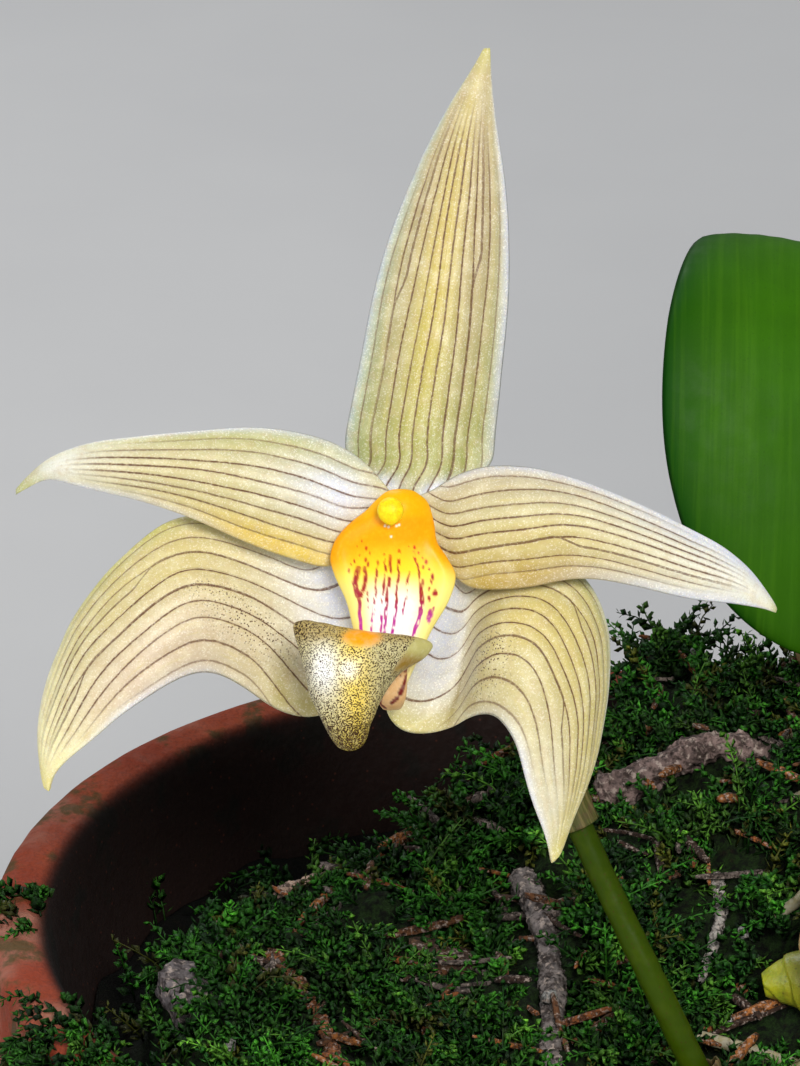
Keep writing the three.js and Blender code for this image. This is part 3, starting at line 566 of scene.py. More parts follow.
def moss_look():
    look = Look("moss", Specular_IOR_Level=0.22)
    patchy = look.patched(look.tint(), rgb(12, 32, 4), look.noise(1.1, 3), 0.42, 0.62, 0.4)
    look.colour(look.patched(patchy, rgb(60, 70, 14), look.noise(5, 3), 0.5, 0.72, 0.25))
    look.roughen(look.noise(0.8, 2), 0.4, 0.75)
    return look.bumped(look.noise(0.25, 3), 0.12, 0.8)


def mould_look():
    """The bed under the moss: dark peat, old moss and shreds of bark."""
    look = Look("bed", Specular_IOR_Level=0.2)
    shred = look.noise(1.2, 6, roughness=0.7)
    dark = look.patched(look.tint(), rgb(8, 12, 4), shred, 0.38, 0.62)
    brown = look.patched(dark, rgb(38, 25, 15), look.noise(2.2, 4), 0.58, 0.72, 0.5)
    look.colour(brown)
    look.roughen(shred, 0.8, 1.0)
    return look.bumped(look.plus(shred, look.noise(0.4, 4)), 0.9, 1.0)


def mix_look():
    """Coarse bark chips, seen only through the drain holes."""
    look = Look("bark_mix", Specular_IOR_Level=0.2)
    tone = look.mix(look.draws(6)[0], rgb(44, 28, 18), rgb(104, 66, 40))
    look.colour(look.patched(tone, rgb(26, 18, 12), look.noise(1.2, 5), 0.4, 0.65, 0.6))
    look.roughen(look.noise(2, 3), 0.8, 1.0)
    return look.bumped(look.plus(look.cells(6, feature="SMOOTH_F1"), look.noise(0.8, 4)), 1.2, 0.9)


def clay_look():
    look = Look("clay", Specular_IOR_Level=0.25)
    place = look.node("SeparateXYZ")
    look.feed(place.inputs[0], look.place)
    x, y, z = place.outputs
    radius = look.math("SQRT", look.plus(look.times(x, x), look.times(y, y)))
    # Halfway through the wall at each height, which tells the inside from the outside
    slope = (RIM_RADIUS - RIM_LIP - FOOT_RADIUS) / POT_HEIGHT
    wall = look.times_plus(z, slope, FOOT_RADIUS - POT_WALL / 2)
    inside = look.step(look.math("SUBTRACT", radius, wall), -1, 1, 1, 0)
    warm = look.patched(rgb(142, 58, 34), rgb(162, 74, 45), look.noise(14, 4), 0.35, 0.68)
    grain = look.patched(warm, rgb(104, 46, 30), look.noise(0.5, 4), 0.42, 0.66, 0.4)
    bloom_place = look.stretched((1, 1, 0.55))
    foot_bloom = look.step(z, 8, 52, 0.24, 0.02)
    bloom_noise = look.plus(look.noise(16, 5, bloom_place, 0.55), foot_bloom)
    bloomed = look.patched(grain, rgb(196, 172, 152), bloom_noise, 0.48, 0.92, 0.6)
    algae_noise = look.plus(look.noise(7, 6, roughness=0.65), look.step(z, 84, 116, -0.06, 0.06))
    green = look.patched(bloomed, rgb(52, 62, 26), algae_noise, 0.56, 0.68, 0.75)
    # The whole inside of the pot is painted almost black, as painted shade
    shaded_inside = look.mix(look.times(inside, 0.97), green, rgb(11, 8, 6))
    grit = look.step(look.cells(1.7), 0.06, 0.14, 0.5, 0)
    look.colour(look.mix(grit, shaded_inside, rgb(92, 46, 32)))
    look.roughen(look.noise(1.3, 4), 0.72, 0.95)
    return look.bumped(look.plus(look.noise(0.6, 5), look.noise(4, 3)), 0.3, 0.7)


LOOKS = {
    "tepal": tepal_look(),
    "column": column_look(),
    "lip": lip_look(),
    "anther": anther_look(),
    "leaf": leaf_look(),
    "bulb": bulb_look(),
    "stalk": stalk_look(),
    "papery": papery_look(),
    "bark": bark_look("bark", 1.6),
    "twig": bark_look("twig", 0.9),
    "rhizome": root_look(),
    "moss": moss_look(),
    "bed": mould_look(),
    "mix": mix_look(),
    "clay": clay_look(),
}


# The pot
def pot_radius(z):
    return FOOT_RADIUS + (RIM_RADIUS - RIM_LIP - FOOT_RADIUS) * z / POT_HEIGHT


def inner_radius(z):
    return pot_radius(z) - POT_WALL + (RIM_LIP - 3) * smooth(0, POT_HEIGHT, z)


def rounded(profile, passes=2):
    """Cuts a profile's corners, keeping its two ends."""
    points = np.array(profile, float)
    for _ in range(passes):
        a, b = points[:-1], points[1:]
        cut = np.stack([0.8 * a + 0.2 * b, 0.2 * a + 0.8 * b], 1).reshape(-1, 2)
        points = np.concatenate([points[:1], cut[1:-1], points[-1:]])
    return points


def divided(profile, longest):
    parts = []
    for a, b in zip(profile[:-1], profile[1:]):
        count = max(1, math.ceil(np.linalg.norm(b - a) / longest))
        parts += [a + (b - a) * k / count for k in range(count)]
    return np.array(parts + [profile[-1]])


def make_pot():
    band = POT_HEIGHT - RIM_BAND
    inner_top = float(inner_radius(POT_HEIGHT))
    profile = [
        (0.01, 0),
        (FOOT_RADIUS - 2, 0),
        (FOOT_RADIUS, 2),
        (pot_radius(band - 3), band - 3),
        (RIM_RADIUS - 1.5, band),
        (RIM_RADIUS - 0.3, band + 2),
        (RIM_RADIUS, POT_HEIGHT - 3),
        (RIM_RADIUS - 1.2, POT_HEIGHT - 0.6),
        (RIM_RADIUS - 3, POT_HEIGHT),
        (inner_top + 0.8, POT_HEIGHT - 0.6),
        (float(inner_radius(POT_HEIGHT - 3)), POT_HEIGHT - 3),
        (float(inner_radius(POT_FLOOR + 3)), POT_FLOOR + 3),
        (float(inner_radius(POT_FLOOR)) - 3, POT_FLOOR),
        (0.01, POT_FLOOR),
    ]
    outline = divided(rounded(profile), 3)
    angle = circle(144)
    radius, height = outline[:, :1], outline[:, 1:]
    rings = np.stack([radius * np.cos(angle), radius * np.sin(angle), height + 0 * angle], -1)
    wheel = 0.12 * np.sin(height * 1.9) + 0.1 * np.sin(height * 0.7 + 1)
    push = (wheel + 0.45 * rough(rings, 26) + 0.12 * rough(rings, 4)) * smooth(30, 46, radius)
    rings[..., 0] += push * np.cos(angle)
    rings[..., 1] += push * np.sin(angle)
    rings[..., 2] += 0.35 * rough(rings, 30, 7.3) * smooth(80, POT_HEIGHT, height)
    pot = piece("pot_clay", tube_body(rings), LOOKS["clay"], ["pot"])
    drill_drains(pot)
    nodes["bark_mix"].data.materials.clear()
    nodes["bark_mix"].data.materials.append(LOOKS["mix"])


def drill_drains(pot):
    angle = circle(32)
    ring = np.stack([np.cos(angle), np.sin(angle), 0 * angle], -1) * DRAIN_RADIUS
    drills = []
    for turn in TURN / 8 + circle(4):
        centre = np.array([DRAIN_CIRCLE * math.cos(turn), DRAIN_CIRCLE * math.sin(turn), 0])
        ends = [ring + centre + (0, 0, z) for z in (-2 * POT_FLOOR, 2 * POT_FLOOR)]
        drills.append(tube_body(np.stack(ends)))
    cutter = linked("drains", mesh_of("drains", *joined(drills)))
    modifier = pot.modifiers.new("drains", "BOOLEAN")
    modifier.object = cutter
    modifier.operation = "DIFFERENCE"
    drilled = bpy.data.meshes.new_from_object(pot.evaluated_get(bpy.context.evaluated_depsgraph_get()))
    pot.modifiers.clear()
    pot.data = drilled
    bpy.data.objects.remove(cutter)


# The moss bed: the frame's relief, with shreds and lumps added
def moss_tufts():
    draw = seeded(11)
    tufts = []
    for _ in range(110):
        angle = TURN * next(draw)
        out = 62 * math.sqrt(next(draw))
        high = 1 + 2 * next(draw)
        wide = 3.5 + 3.5 * next(draw)
        tufts.append((out * math.cos(angle), out * math.sin(angle), high, wide))
    return np.array(tufts)


TUFTS = moss_tufts()


def bulge(x, y, wide):
    return np.exp(-(x * x + y * y) / wide**2)


def hollow(x, y):
    return smooth(18, 31, 0.83 * y - 0.55 * x) * (1 - smooth(2, 18, x))


def left_gap(x, y):
    return smooth(44, 53, -x) * (1 - smooth(28, 46, -y)) * (1 - hollow(x, y))


def moss_height(x, y):
    x, y = np.asarray(x, float), np.asarray(y, float)
    out = np.hypot(x, y)
    behind_crest = hollow(x, y)
    climb = 14 * smooth(-12, 38, 0.75 * x + 0.66 * y) * (1 - smooth(52, 66, out))
    mound = (4 * (1 - (out / 64) ** 2) + climb) * (1 - behind_crest) - 17 * behind_crest
    hole = 8 * bulge(x - 12, y - 30, 9)
    tufts = sum(high * bulge(x - tx, y - ty, wide) for tx, ty, high, wide in TUFTS)
    return POT_HEIGHT - 4 + mound - 15 * left_gap(x, y) - hole + tufts - 3 * smooth(57, 65, out)


def moss_edge(angle):
    height = moss_height(63 * np.cos(angle), 63 * np.sin(angle))
    return inner_radius(np.minimum(height - 2, POT_HEIGHT - 4)) - CLEARANCE


def make_bed():
    angle = circle(220)
    share = np.linspace(1, 0.008, 70)[:, None]
    radius = moss_edge(angle) * share
    x, y = radius * np.cos(angle), radius * np.sin(angle)
    top = np.stack([x, y, moss_height(x, y)], -1)
    lumps = 1.5 * rough(top, 4.5) + 0.8 * rough(top, 1.7, 3.1)
    top[..., 2] += (lumps - 0.4) * smooth(1, 0.93, share)
    foot_radius = float(inner_radius(MIX_TOP)) - 2 * CLEARANCE
    foot_height = 0 * angle + MIX_TOP + CLEARANCE
    foot = np.stack([foot_radius * np.cos(angle), foot_radius * np.sin(angle), foot_height], -1)
    points, faces = tube_body(np.concatenate([foot[None], top]))
    x, y = points[:, 0], points[:, 1]
    # The ground is painted near black in the hollow behind the crest, as painted shade, and dark in the gap at
    # the left
    dark = np.maximum(hollow(x, y), 0.8 * left_gap(x, y))
    tint = blend(rgb(30, 52, 14), rgb(14, 12, 8), dark[:, None])
    piece("moss_bed", (points, faces), LOOKS["bed"], ["moss"], tint)


# Wood on the moss: sticks, twigs and bark chips
STICKS = table(
    "name ends radius bend look slot colour",
    ("stick_right", ((8.5, 13), (31, 16)), 2.7, 0.8, "bark", "bark", rgb(138, 116, 110)),
    ("stick_front", ((-2, 0), (2, -47)), 2, 2, "bark", "bark", rgb(134, 124, 120)),
    ("twig_left", ((-42, -1), (-25, 6)), 1, -1, "twig", "twig", rgb(214, 180, 158)),
    ("twig_front", ((-34, -15), (-24, -43)), 1.2, 1.5, "twig", "bark", rgb(150, 92, 54)),
    ("twig_pale", ((23, -6), (21, -24)), 1, 1, "twig", "twig", rgb(188, 180, 172)),
)
CHIPS = table(
    "name at size turn colour",
    ("bark_chip_front", (-9, -50), (9, 6, 3), 0.6, rgb(120, 74, 44)),
    ("bark_chip_left", (-44, -22), (12, 7, 3.5), 1.9, rgb(112, 104, 104)),
    ("bark_chip_back", (-14, 44), (13, 8, 4), 0.2, rgb(84, 60, 44)),
    ("bark_chip_middle", (-12, -16), (10, 6, 3), 2.6, rgb(96, 70, 52)),

)
# Where the new shoot lies: its two ends and half its width
NEW_SHOOT_LINE = ((38, -31), (27.5, -31), 4)
# Moss keeps this far from sticks, and comes right up to the chips
BARE_MARGIN = 2


# Moss shoots: curved stems set all round with small pointed leaves
MOSS_SHOOTS = 2350
MOSS_REACH = 63.5
SHOOT_STATIONS = 5
LEAVES_PER_SHOOT = 16
LEAF_CORNERS = 4
STEM_POINTS = SHOOT_STATIONS * 3


def shoot_faces():
    """The faces of one shoot: its stem, the stem's two ends, and a thin tetrahedron for each leaf."""
    quads = grid_faces(SHOOT_STATIONS, 3, closed=True)
    faces = [(a, b, c) for a, b, c, _ in quads] + [(a, c, d) for a, _, c, d in quads]
    end = STEM_POINTS - 3
    faces += [(0, 2, 1), (end, end + 1, end + 2)]
    for number in range(LEAVES_PER_SHOOT):
        foot = STEM_POINTS + LEAF_CORNERS * number
        left, right, tip = foot + 1, foot + 2, foot + 3
        faces += [(foot, left, right), (foot, tip, left), (left, tip, right), (right, tip, foot)]
    return np.array(faces)


def moss_shoots(root, heading, lift, droop, length, curl, colour, draw):
    """The points of each shoot and their tints. Each argument has a row for each shoot."""
    count = len(root)
    share = np.linspace(0, 1, SHOOT_STATIONS)
    elevation = lift[:, None] + (droop - lift)[:, None] * share
    azimuth = heading[:, None] + curl[:, None] * share
    flat = np.cos(elevation)
    ahead = np.stack([flat * np.cos(azimuth), flat * np.sin(azimuth), np.sin(elevation)], -1)
    steps = ahead[:, :-1] * (length / (SHOOT_STATIONS - 1))[:, None, None]
    spine = root[:, None] + np.concatenate([np.zeros((count, 1, 3)), np.cumsum(steps, 1)], 1)
    side = unit(np.cross(ahead, [0.02, 0.01, 1.0]))
    over = np.cross(side, ahead)
    stem_angle = circle(3)
    radius = (0.2 - 0.12 * share)[None, :, None, None]
    ring = side[:, :, None] * np.cos(stem_angle)[:, None] + over[:, :, None] * np.sin(stem_angle)[:, None]
    stems = spine[:, :, None] + radius * ring
    # Leaves spiral up the stem and lean forward
    k = np.arange(LEAVES_PER_SHOOT)
    up = 0.12 + 0.88 * (k + 0.5) / LEAVES_PER_SHOOT
    at = np.minimum((up * (SHOOT_STATIONS - 1)).astype(int), SHOOT_STATIONS - 2)
    part = (up * (SHOOT_STATIONS - 1) - at)[None, :, None]
    foot = spine[:, at] * (1 - part) + spine[:, at + 1] * part
    spin = k * 2.4 + draw.uniform(0, TURN, (count, 1))
    out = side[:, at] * np.cos(spin)[..., None] + over[:, at] * np.sin(spin)[..., None]
    across = np.cross(ahead[:, at], out)
    size = (2.15 - 1.05 * up) * draw.uniform(0.75, 1.25, (count, LEAVES_PER_SHOOT))
    spread = draw.uniform(0.5, 1.1, (count, LEAVES_PER_SHOOT))[..., None]
    size = size[..., None]
    tip = foot + size * (ahead[:, at] * np.cos(spread) + out * np.sin(spread))
    width = 0.37 * size
    belly = foot + 0.45 * (tip - foot)
    raised = belly + 0.12 * out
    leaves = np.stack([foot, raised + width * across, raised - width * across, tip], 2)
    points = np.concatenate([stems.reshape(count, -1, 3), leaves.reshape(count, -1, 3)], 1)
    height = np.concatenate([np.repeat(share, 3), np.repeat(up, LEAF_CORNERS)])
    leaf_tip = np.concatenate([np.zeros(STEM_POINTS), np.tile([0, 0.35, 0.35, 1], LEAVES_PER_SHOOT)])
    # Each shoot is darker towards its foot, as painted shade deep in the mat, and lighter towards its tips and
    # leaf tips
    shade = 0.18 + 1.05 * height**1.4 + 0.5 * leaf_tip
    return points, colour[:, None] * shade[None, :, None]


MOSS_GREENS = np.array([
    rgb(38, 96, 16),
    rgb(56, 122, 28),
    rgb(24, 70, 14),
    rgb(88, 142, 42),
    rgb(84, 88, 24),
])


def wood_gap(x, y):
    """How far a place is from the nearest stick, chip or new shoot, which moss leaves bare."""
    gaps = [math.dist((x, y), chip["at"]) - 0.45 * chip["size"][0] + BARE_MARGIN for chip in CHIPS]
    lines = [(*stick["ends"], stick["radius"]) for stick in STICKS]
    for a, b, radius in [*lines, NEW_SHOOT_LINE]:
        a, b = np.array(a, float), np.array(b, float)
        along = np.clip(((x, y) - a) @ (b - a) / ((b - a) @ (b - a)), 0, 1)
        gaps.append(np.hypot(*((x, y) - a - along * (b - a))) - radius)
    return min(gaps)


def make_moss_shoots():
    draw = np.random.default_rng(4)
    places, vigour = [], []
    while len(places) < MOSS_SHOOTS:
        angle, out = draw.uniform(0, TURN), MOSS_REACH * math.sqrt(draw.uniform(0, 1))
        x, y = out * math.cos(angle), out * math.sin(angle)
        bare = 0.95 * float(hollow(x, y)) + 0.85 * float(left_gap(x, y))
        clump = float(smooth(-0.32, 0.3, noise.noise(Vector((x / 8, y / 8, 0.5)))))
        gap = wood_gap(x, y)
        if draw.uniform(0, 1) < (1 - bare) * (0.12 + 0.88 * clump) and gap > BARE_MARGIN:
            places.append((x, y))
            gap_behind = min(gap, wood_gap(x, y + 3), wood_gap(x, y + 6))
            vigour.append((0.7 + 0.5 * clump) * (0.4 + 0.6 * float(smooth(1.5, 5, gap_behind))))
    places, vigour = np.array(places), np.array(vigour)
    count = len(places)
    root = np.column_stack([places, moss_height(*places.T) - 0.8])
    bright = np.clip(1 + 1.1 * rough(root, 7, 2.2), 0.25, 2)
    colour = MOSS_GREENS[draw.choice(5, count, p=[0.34, 0.26, 0.2, 0.12, 0.08])]
    colour = colour * (bright * draw.uniform(0.55, 1.25, count))[:, None]
    lift = draw.uniform(0.4, 1.45, count)
    shoots = moss_shoots(
        root,
        draw.uniform(0, TURN, count),
        lift,
        lift - draw.uniform(0.2, 1.8, count),
        draw.uniform(5.5, 11.5, count) * vigour,
        draw.uniform(-1.6, 1.6, count),
        colour,
        draw,
    )
    order = np.argsort(np.arctan2(places[:, 1], places[:, 0]))
    split_shoots("moss_shoots", shoots, order, math.ceil(count / 3))


def split_shoots(name, shoots, order, size):
    """Makes pieces of at most size shoots each, so that no piece has too many faces."""
    points, tints = shoots
    own = shoot_faces()
    for k in range(0, len(order), size):
        chosen = order[k : k + size]
        starts = np.arange(len(chosen)) * points.shape[1]
        faces = (own[None] + starts[:, None, None]).reshape(-1, 3)
        body = (points[chosen].reshape(-1, 3), faces)
        piece(f"{name}_{k // size + 1}", body, LOOKS["moss"], (), tints[chosen].reshape(-1, 3))


# Moss that has grown over the rim: at the front and the right, and one patch at the left
RIM_MOSS_FROM = 200
RIM_MOSS_TO = 430
RIM_PATCH = 180.5
RIM_SHOOTS = 1000


def make_rim_moss():
    draw = np.random.default_rng(9)
    turns, in_patch = [], []
    while len(turns) < RIM_SHOOTS:
        degrees = draw.uniform(150, 450)
        thinning = smooth(RIM_MOSS_TO - 50, RIM_MOSS_TO, degrees)
        over = smooth(RIM_MOSS_FROM, RIM_MOSS_FROM + 12, degrees) * (1 - thinning)
        patchy = 0.5 + 0.5 * smooth(-0.2, 0.3, noise.noise(Vector((degrees / 5, 2.5, 0))))
        patch = 1.6 * math.exp(-(((degrees - RIM_PATCH) / 2.6) ** 2))
        if draw.uniform(0, 1) < max(float(over * patchy), patch):
            turns.append(math.radians(degrees))
            in_patch.append(patch > over)
    turn = np.array(turns)
    count = len(turn)
    across = draw.uniform(0, 1, count)
    radius = MOSS_REACH + 8 * np.minimum(across * 1.7, 1)
    drop = 17 * np.maximum(across - 0.59, 0) ** 1.2 * np.where(in_patch, 0.6, 1)
    height = POT_HEIGHT - 0.6 - smooth(0.4, 0.6, across) - drop
    root = np.column_stack([radius * np.cos(turn), radius * np.sin(turn), height])
    colour = MOSS_GREENS[draw.choice(5, count, p=[0.3, 0.3, 0.2, 0.12, 0.08])]
    colour = colour * ((1 + 0.5 * rough(root, 6, 2.2)) * draw.uniform(0.6, 1.2, count))[:, None]
    lift = draw.uniform(0.1, 1.1, count) - 0.7 * across
    shoots = moss_shoots(
        root,
        turn + draw.uniform(-1.3, 1.3, count),
        lift,
        lift - draw.uniform(0.5, 1.7, count),
        draw.uniform(3.5, 7.5, count) * np.where(in_patch, 0.7, 1),
        draw.uniform(-1, 1, count),
        colour,
        draw,
    )
    split_shoots("moss_over_rim", shoots, np.arange(count), count)


# Stems: the rhizome with its roots, the bulbs, the new shoot, the scape and the ovary
def stem_body(points, radius_at, sides, steps, start=0.0, end=1.0, relief=None):
    """A round body along a curve, with the place along and the angle of each of its points.

    radius_at is a function of the place along, and relief of the place, the angle and the points.
    """
    along, angle = round_grid(start, end, steps + 1, sides)
    radius = radius_at(along)
    rings = Round(points).place(along, angle, radius)
    if relief is not None:
        rings = Round(points).place(along, angle, radius + relief(along, angle, rings))
    body, faces = tube_body(rings)
    return body, faces, np.concatenate([along.ravel(), [start, end]]), np.concatenate([angle.ravel(), [0, 0]])


def polar(degrees, radius):
    angle = math.radians(degrees)
    return radius * math.cos(angle), radius * math.sin(angle)


def on_moss(x, y, above):
    return [x, y, float(moss_height(x, y)) + above]


RHIZOME_ROUTE = [
    on_moss(*polar(degrees, radius), 0.6)
    for degrees, radius in ((-78, 57), (-68, 58), (-42, 54), (-15, 54), (10, 54), (34, 56), (46, 53))
]
ROOT_ROUTES = [
    [on_moss(33, -42, 1), on_moss(24, -37, 1.6), on_moss(14, -34, 0.8), on_moss(7, -30, -4)],
    [on_moss(48, -24, 1), on_moss(39, -19, 1.6), on_moss(31, -17, 1), on_moss(24, -13, -5)],
    [on_moss(53, 2, 1), on_moss(43, 2, 1.8), on_moss(36, 5, 0.8), on_moss(31, 9, -4)],
    [on_moss(47, 28, 1), on_moss(40, 25, 1.6), on_moss(35, 21, 1), on_moss(30, 22, -5)],
]
BULBS = table(
    "at height radius lean turn",
    ((-40, 55), 34, 10.5, (6, -6), 0.3),
    ((-14, 54), 36, 11, (7, -3), 1.2),
    ((11, 55), 37, 11, (7, 3), 2.1),
    ((34, 57), 30, 10, (-1, 8), 0.8),
)
for bulb in BULBS:
    bulb["base"] = on_moss(*polar(*bulb["at"]), 1.2)
    lean_x, lean_y = bulb["lean"]
    base_x, base_y, base_z = bulb["base"]
    bulb["top"] = [base_x + lean_x, base_y + lean_y, base_z + bulb["height"]]


def make_rhizome():
    def swollen(along):
        return RHIZOME_RADIUS + 0.35 * np.sin(7 * TURN * along)

    def ringed(along, angle, points):
        rings = -0.28 * np.exp(-((np.sin(17 * math.pi * along) / 0.16) ** 2))
        return rings + 0.3 * rough(points, 1.8)

    def thinning(along):
        return 0.95 - 0.3 * along

    def wrinkled(along, angle, points):
        return 0.14 * rough(points, 1.1)

    body = stem_body(RHIZOME_ROUTE, swollen, 24, 260, relief=ringed)
    tint = rgb(112, 104, 58) * (0.7 + 0.5 * rough(body[0], 5)[:, None])
    piece("rhizome_stem", body, LOOKS["rhizome"], ["rhizome"], tint)
    body = joined([stem_body(route, thinning, 12, 60, relief=wrinkled) for route in ROOT_ROUTES])
    tint = rgb(176, 168, 144) * (0.85 + 0.5 * rough(body[0], 2.5)[:, None])
    piece("roots", body, LOOKS["rhizome"], (), tint)


def bulb_point(bulb, up, angle, extra=0.0):
    """Points on a pseudobulb's skin, or extra mm off it."""
    plump = np.sin(math.pi * (0.13 + 0.8 * np.clip(up, 0, 1) ** 0.9)) ** 0.8
    ridge = 1 + 0.05 * np.cos(6 * (angle - bulb["turn"])) * np.sin(math.pi * up)
    out = bulb["radius"] * plump * ridge + extra
    shift = np.clip(up, 0, 1) ** 1.4
    x = bulb["base"][0] + bulb["lean"][0] * shift + out * np.cos(angle)
    y = bulb["base"][1] + bulb["lean"][1] * shift + out * np.sin(angle)
    return np.stack([x, y, bulb["base"][2] + bulb["height"] * up], -1)


def make_bulbs():
    scales = []
    for number, bulb in enumerate(BULBS, 1):
        up, angle = round_grid(0, 1, 61, 84)
        skin = bulb_point(bulb, up, angle)
        wrinkle = 0.28 * rough(skin * (1, 1, 0.25), 1.6) + 0.35 * rough(skin, 7)
        points, faces = tube_body(bulb_point(bulb, up, angle, wrinkle))
        height = (points[:, 2] - bulb["base"][2]) / bulb["height"]
        young = blend(rgb(140, 150, 40), rgb(112, 136, 40), height[:, None])
        sunny = 0.5 + 0.5 * rough(points, 9)[:, None]
        tint = young * (0.95 + 0.4 * sunny)
        piece(f"bulb_{number}", (points, faces), LOOKS["bulb"], [f"pseudobulb_{number}"], tint)
        scales += bulb_scales(bulb, number)
    points, faces = joined(scales)
    values = {"across": np.arctan2(points[:, 1], points[:, 0]) * 60, "along": points[:, 2]}
    piece("bulb_scales", (points, faces), LOOKS["papery"], (), rgb(150, 122, 78), values)


def bulb_scales(bulb, number):
    """Torn papery scales left round the foot of a pseudobulb."""
    draw = np.random.default_rng(40 + number)
    scales = []
    for k in range(4):
        middle = TURN * k / 4 + draw.uniform(-0.4, 0.4)
        half = draw.uniform(0.6, 1.0)
        reach = draw.uniform(0.22, 0.48)
        up_share, side = np.meshgrid(np.linspace(0, 1, 11), np.linspace(-1, 1, 23), indexing="ij")
        jag = 1 + 0.3 * rough(np.stack([side * 9 + k, 0 * side + number, 0 * side], -1), 1.0)
        up = -0.03 + reach * up_share * jag * (1 - 0.55 * np.abs(side) ** 2.2)
        angle = middle + half * side
        lift = 0.35 + 0.1 * k + 1.3 * up_share**2.5 * draw.uniform(0.5, 1.3)
        middle_skin = bulb_point(bulb, up, angle, lift)
        edge = np.minimum(1, 6 * np.minimum(np.minimum(up_share, 1 - up_share), (1 - np.abs(side)) / 2))
        thick = (bulb_point(bulb, up, angle, lift + 1) - middle_skin) * (0.16 * edge)[..., None]
        scales.append(blade_body(middle_skin + thick, middle_skin - thick))
    return scales


def make_new_shoot():
    route = [
        on_moss(*polar(-36, 51), 2),
        on_moss(36, -32, 3.6),
        on_moss(31, -31, 3.8),
        on_moss(27.5, -31, 4.2),
    ]

    def plump(along):
        return 0.6 + 4.1 * np.sin(math.pi * (0.3 + 0.66 * along)) ** 0.8

    def scaled(along, angle, points):
        overlap = np.mod(along * 4.2 + 0.35 * np.cos(angle), 1)
        return 0.35 * overlap - 0.15 + 0.08 * rough(points, 1.0)

    body = stem_body(route, plump, 40, 90, relief=scaled)
    share = body[2][:, None]
    tint = blend(rgb(126, 118, 44), rgb(170, 172, 30), share)
    piece("shoot", body, LOOKS["bulb"], ["new_shoot"], tint)


# Leaves
LEAVES = table(
    "name bulb route side width petiole",
    (
        "leaf_front", 0,
        [(54, -54, 172), (66, -70, 178), (80, -90, 172), (91, -107, 154), (98, -119, 130)],
        (-0.8, -0.6, -0.1), 44, 0.2,
    ),
    (
        "leaf_right", 1,
        [(68, -21, 180), (84, -26, 202), (108, -33, 216), (132, -40, 212), (152, -46, 194)],
        (-0.25, -0.96, -0.15), 47, 0.2,
    ),
    (
        "leaf_upright", 2,
        [(68, 15, 192), (78, 24, 218), (90, 36, 248), (103, 50, 273), (116, 64, 290)],
        (0.72, -0.64, -0.25), 48, 0.18,
    ),
    (
        "leaf_arching", 3,
        [(43, 49, 177), (40.5, 49, 186), (38, 38, 192.5), (37, 24, 187), (36.5, 13, 170), (36, 7, 150)],
        (-1, 0, 0), 50, 0.17,
    ),
)
LEAF_LENGTH = 90


def leaf_half_width(t, width):
    widening = 0.08 + 1.3 * t**0.72
    return width / 2 * (widening**-7 + 1) ** (-1 / 7) * (1 - t**4.4) ** 0.62


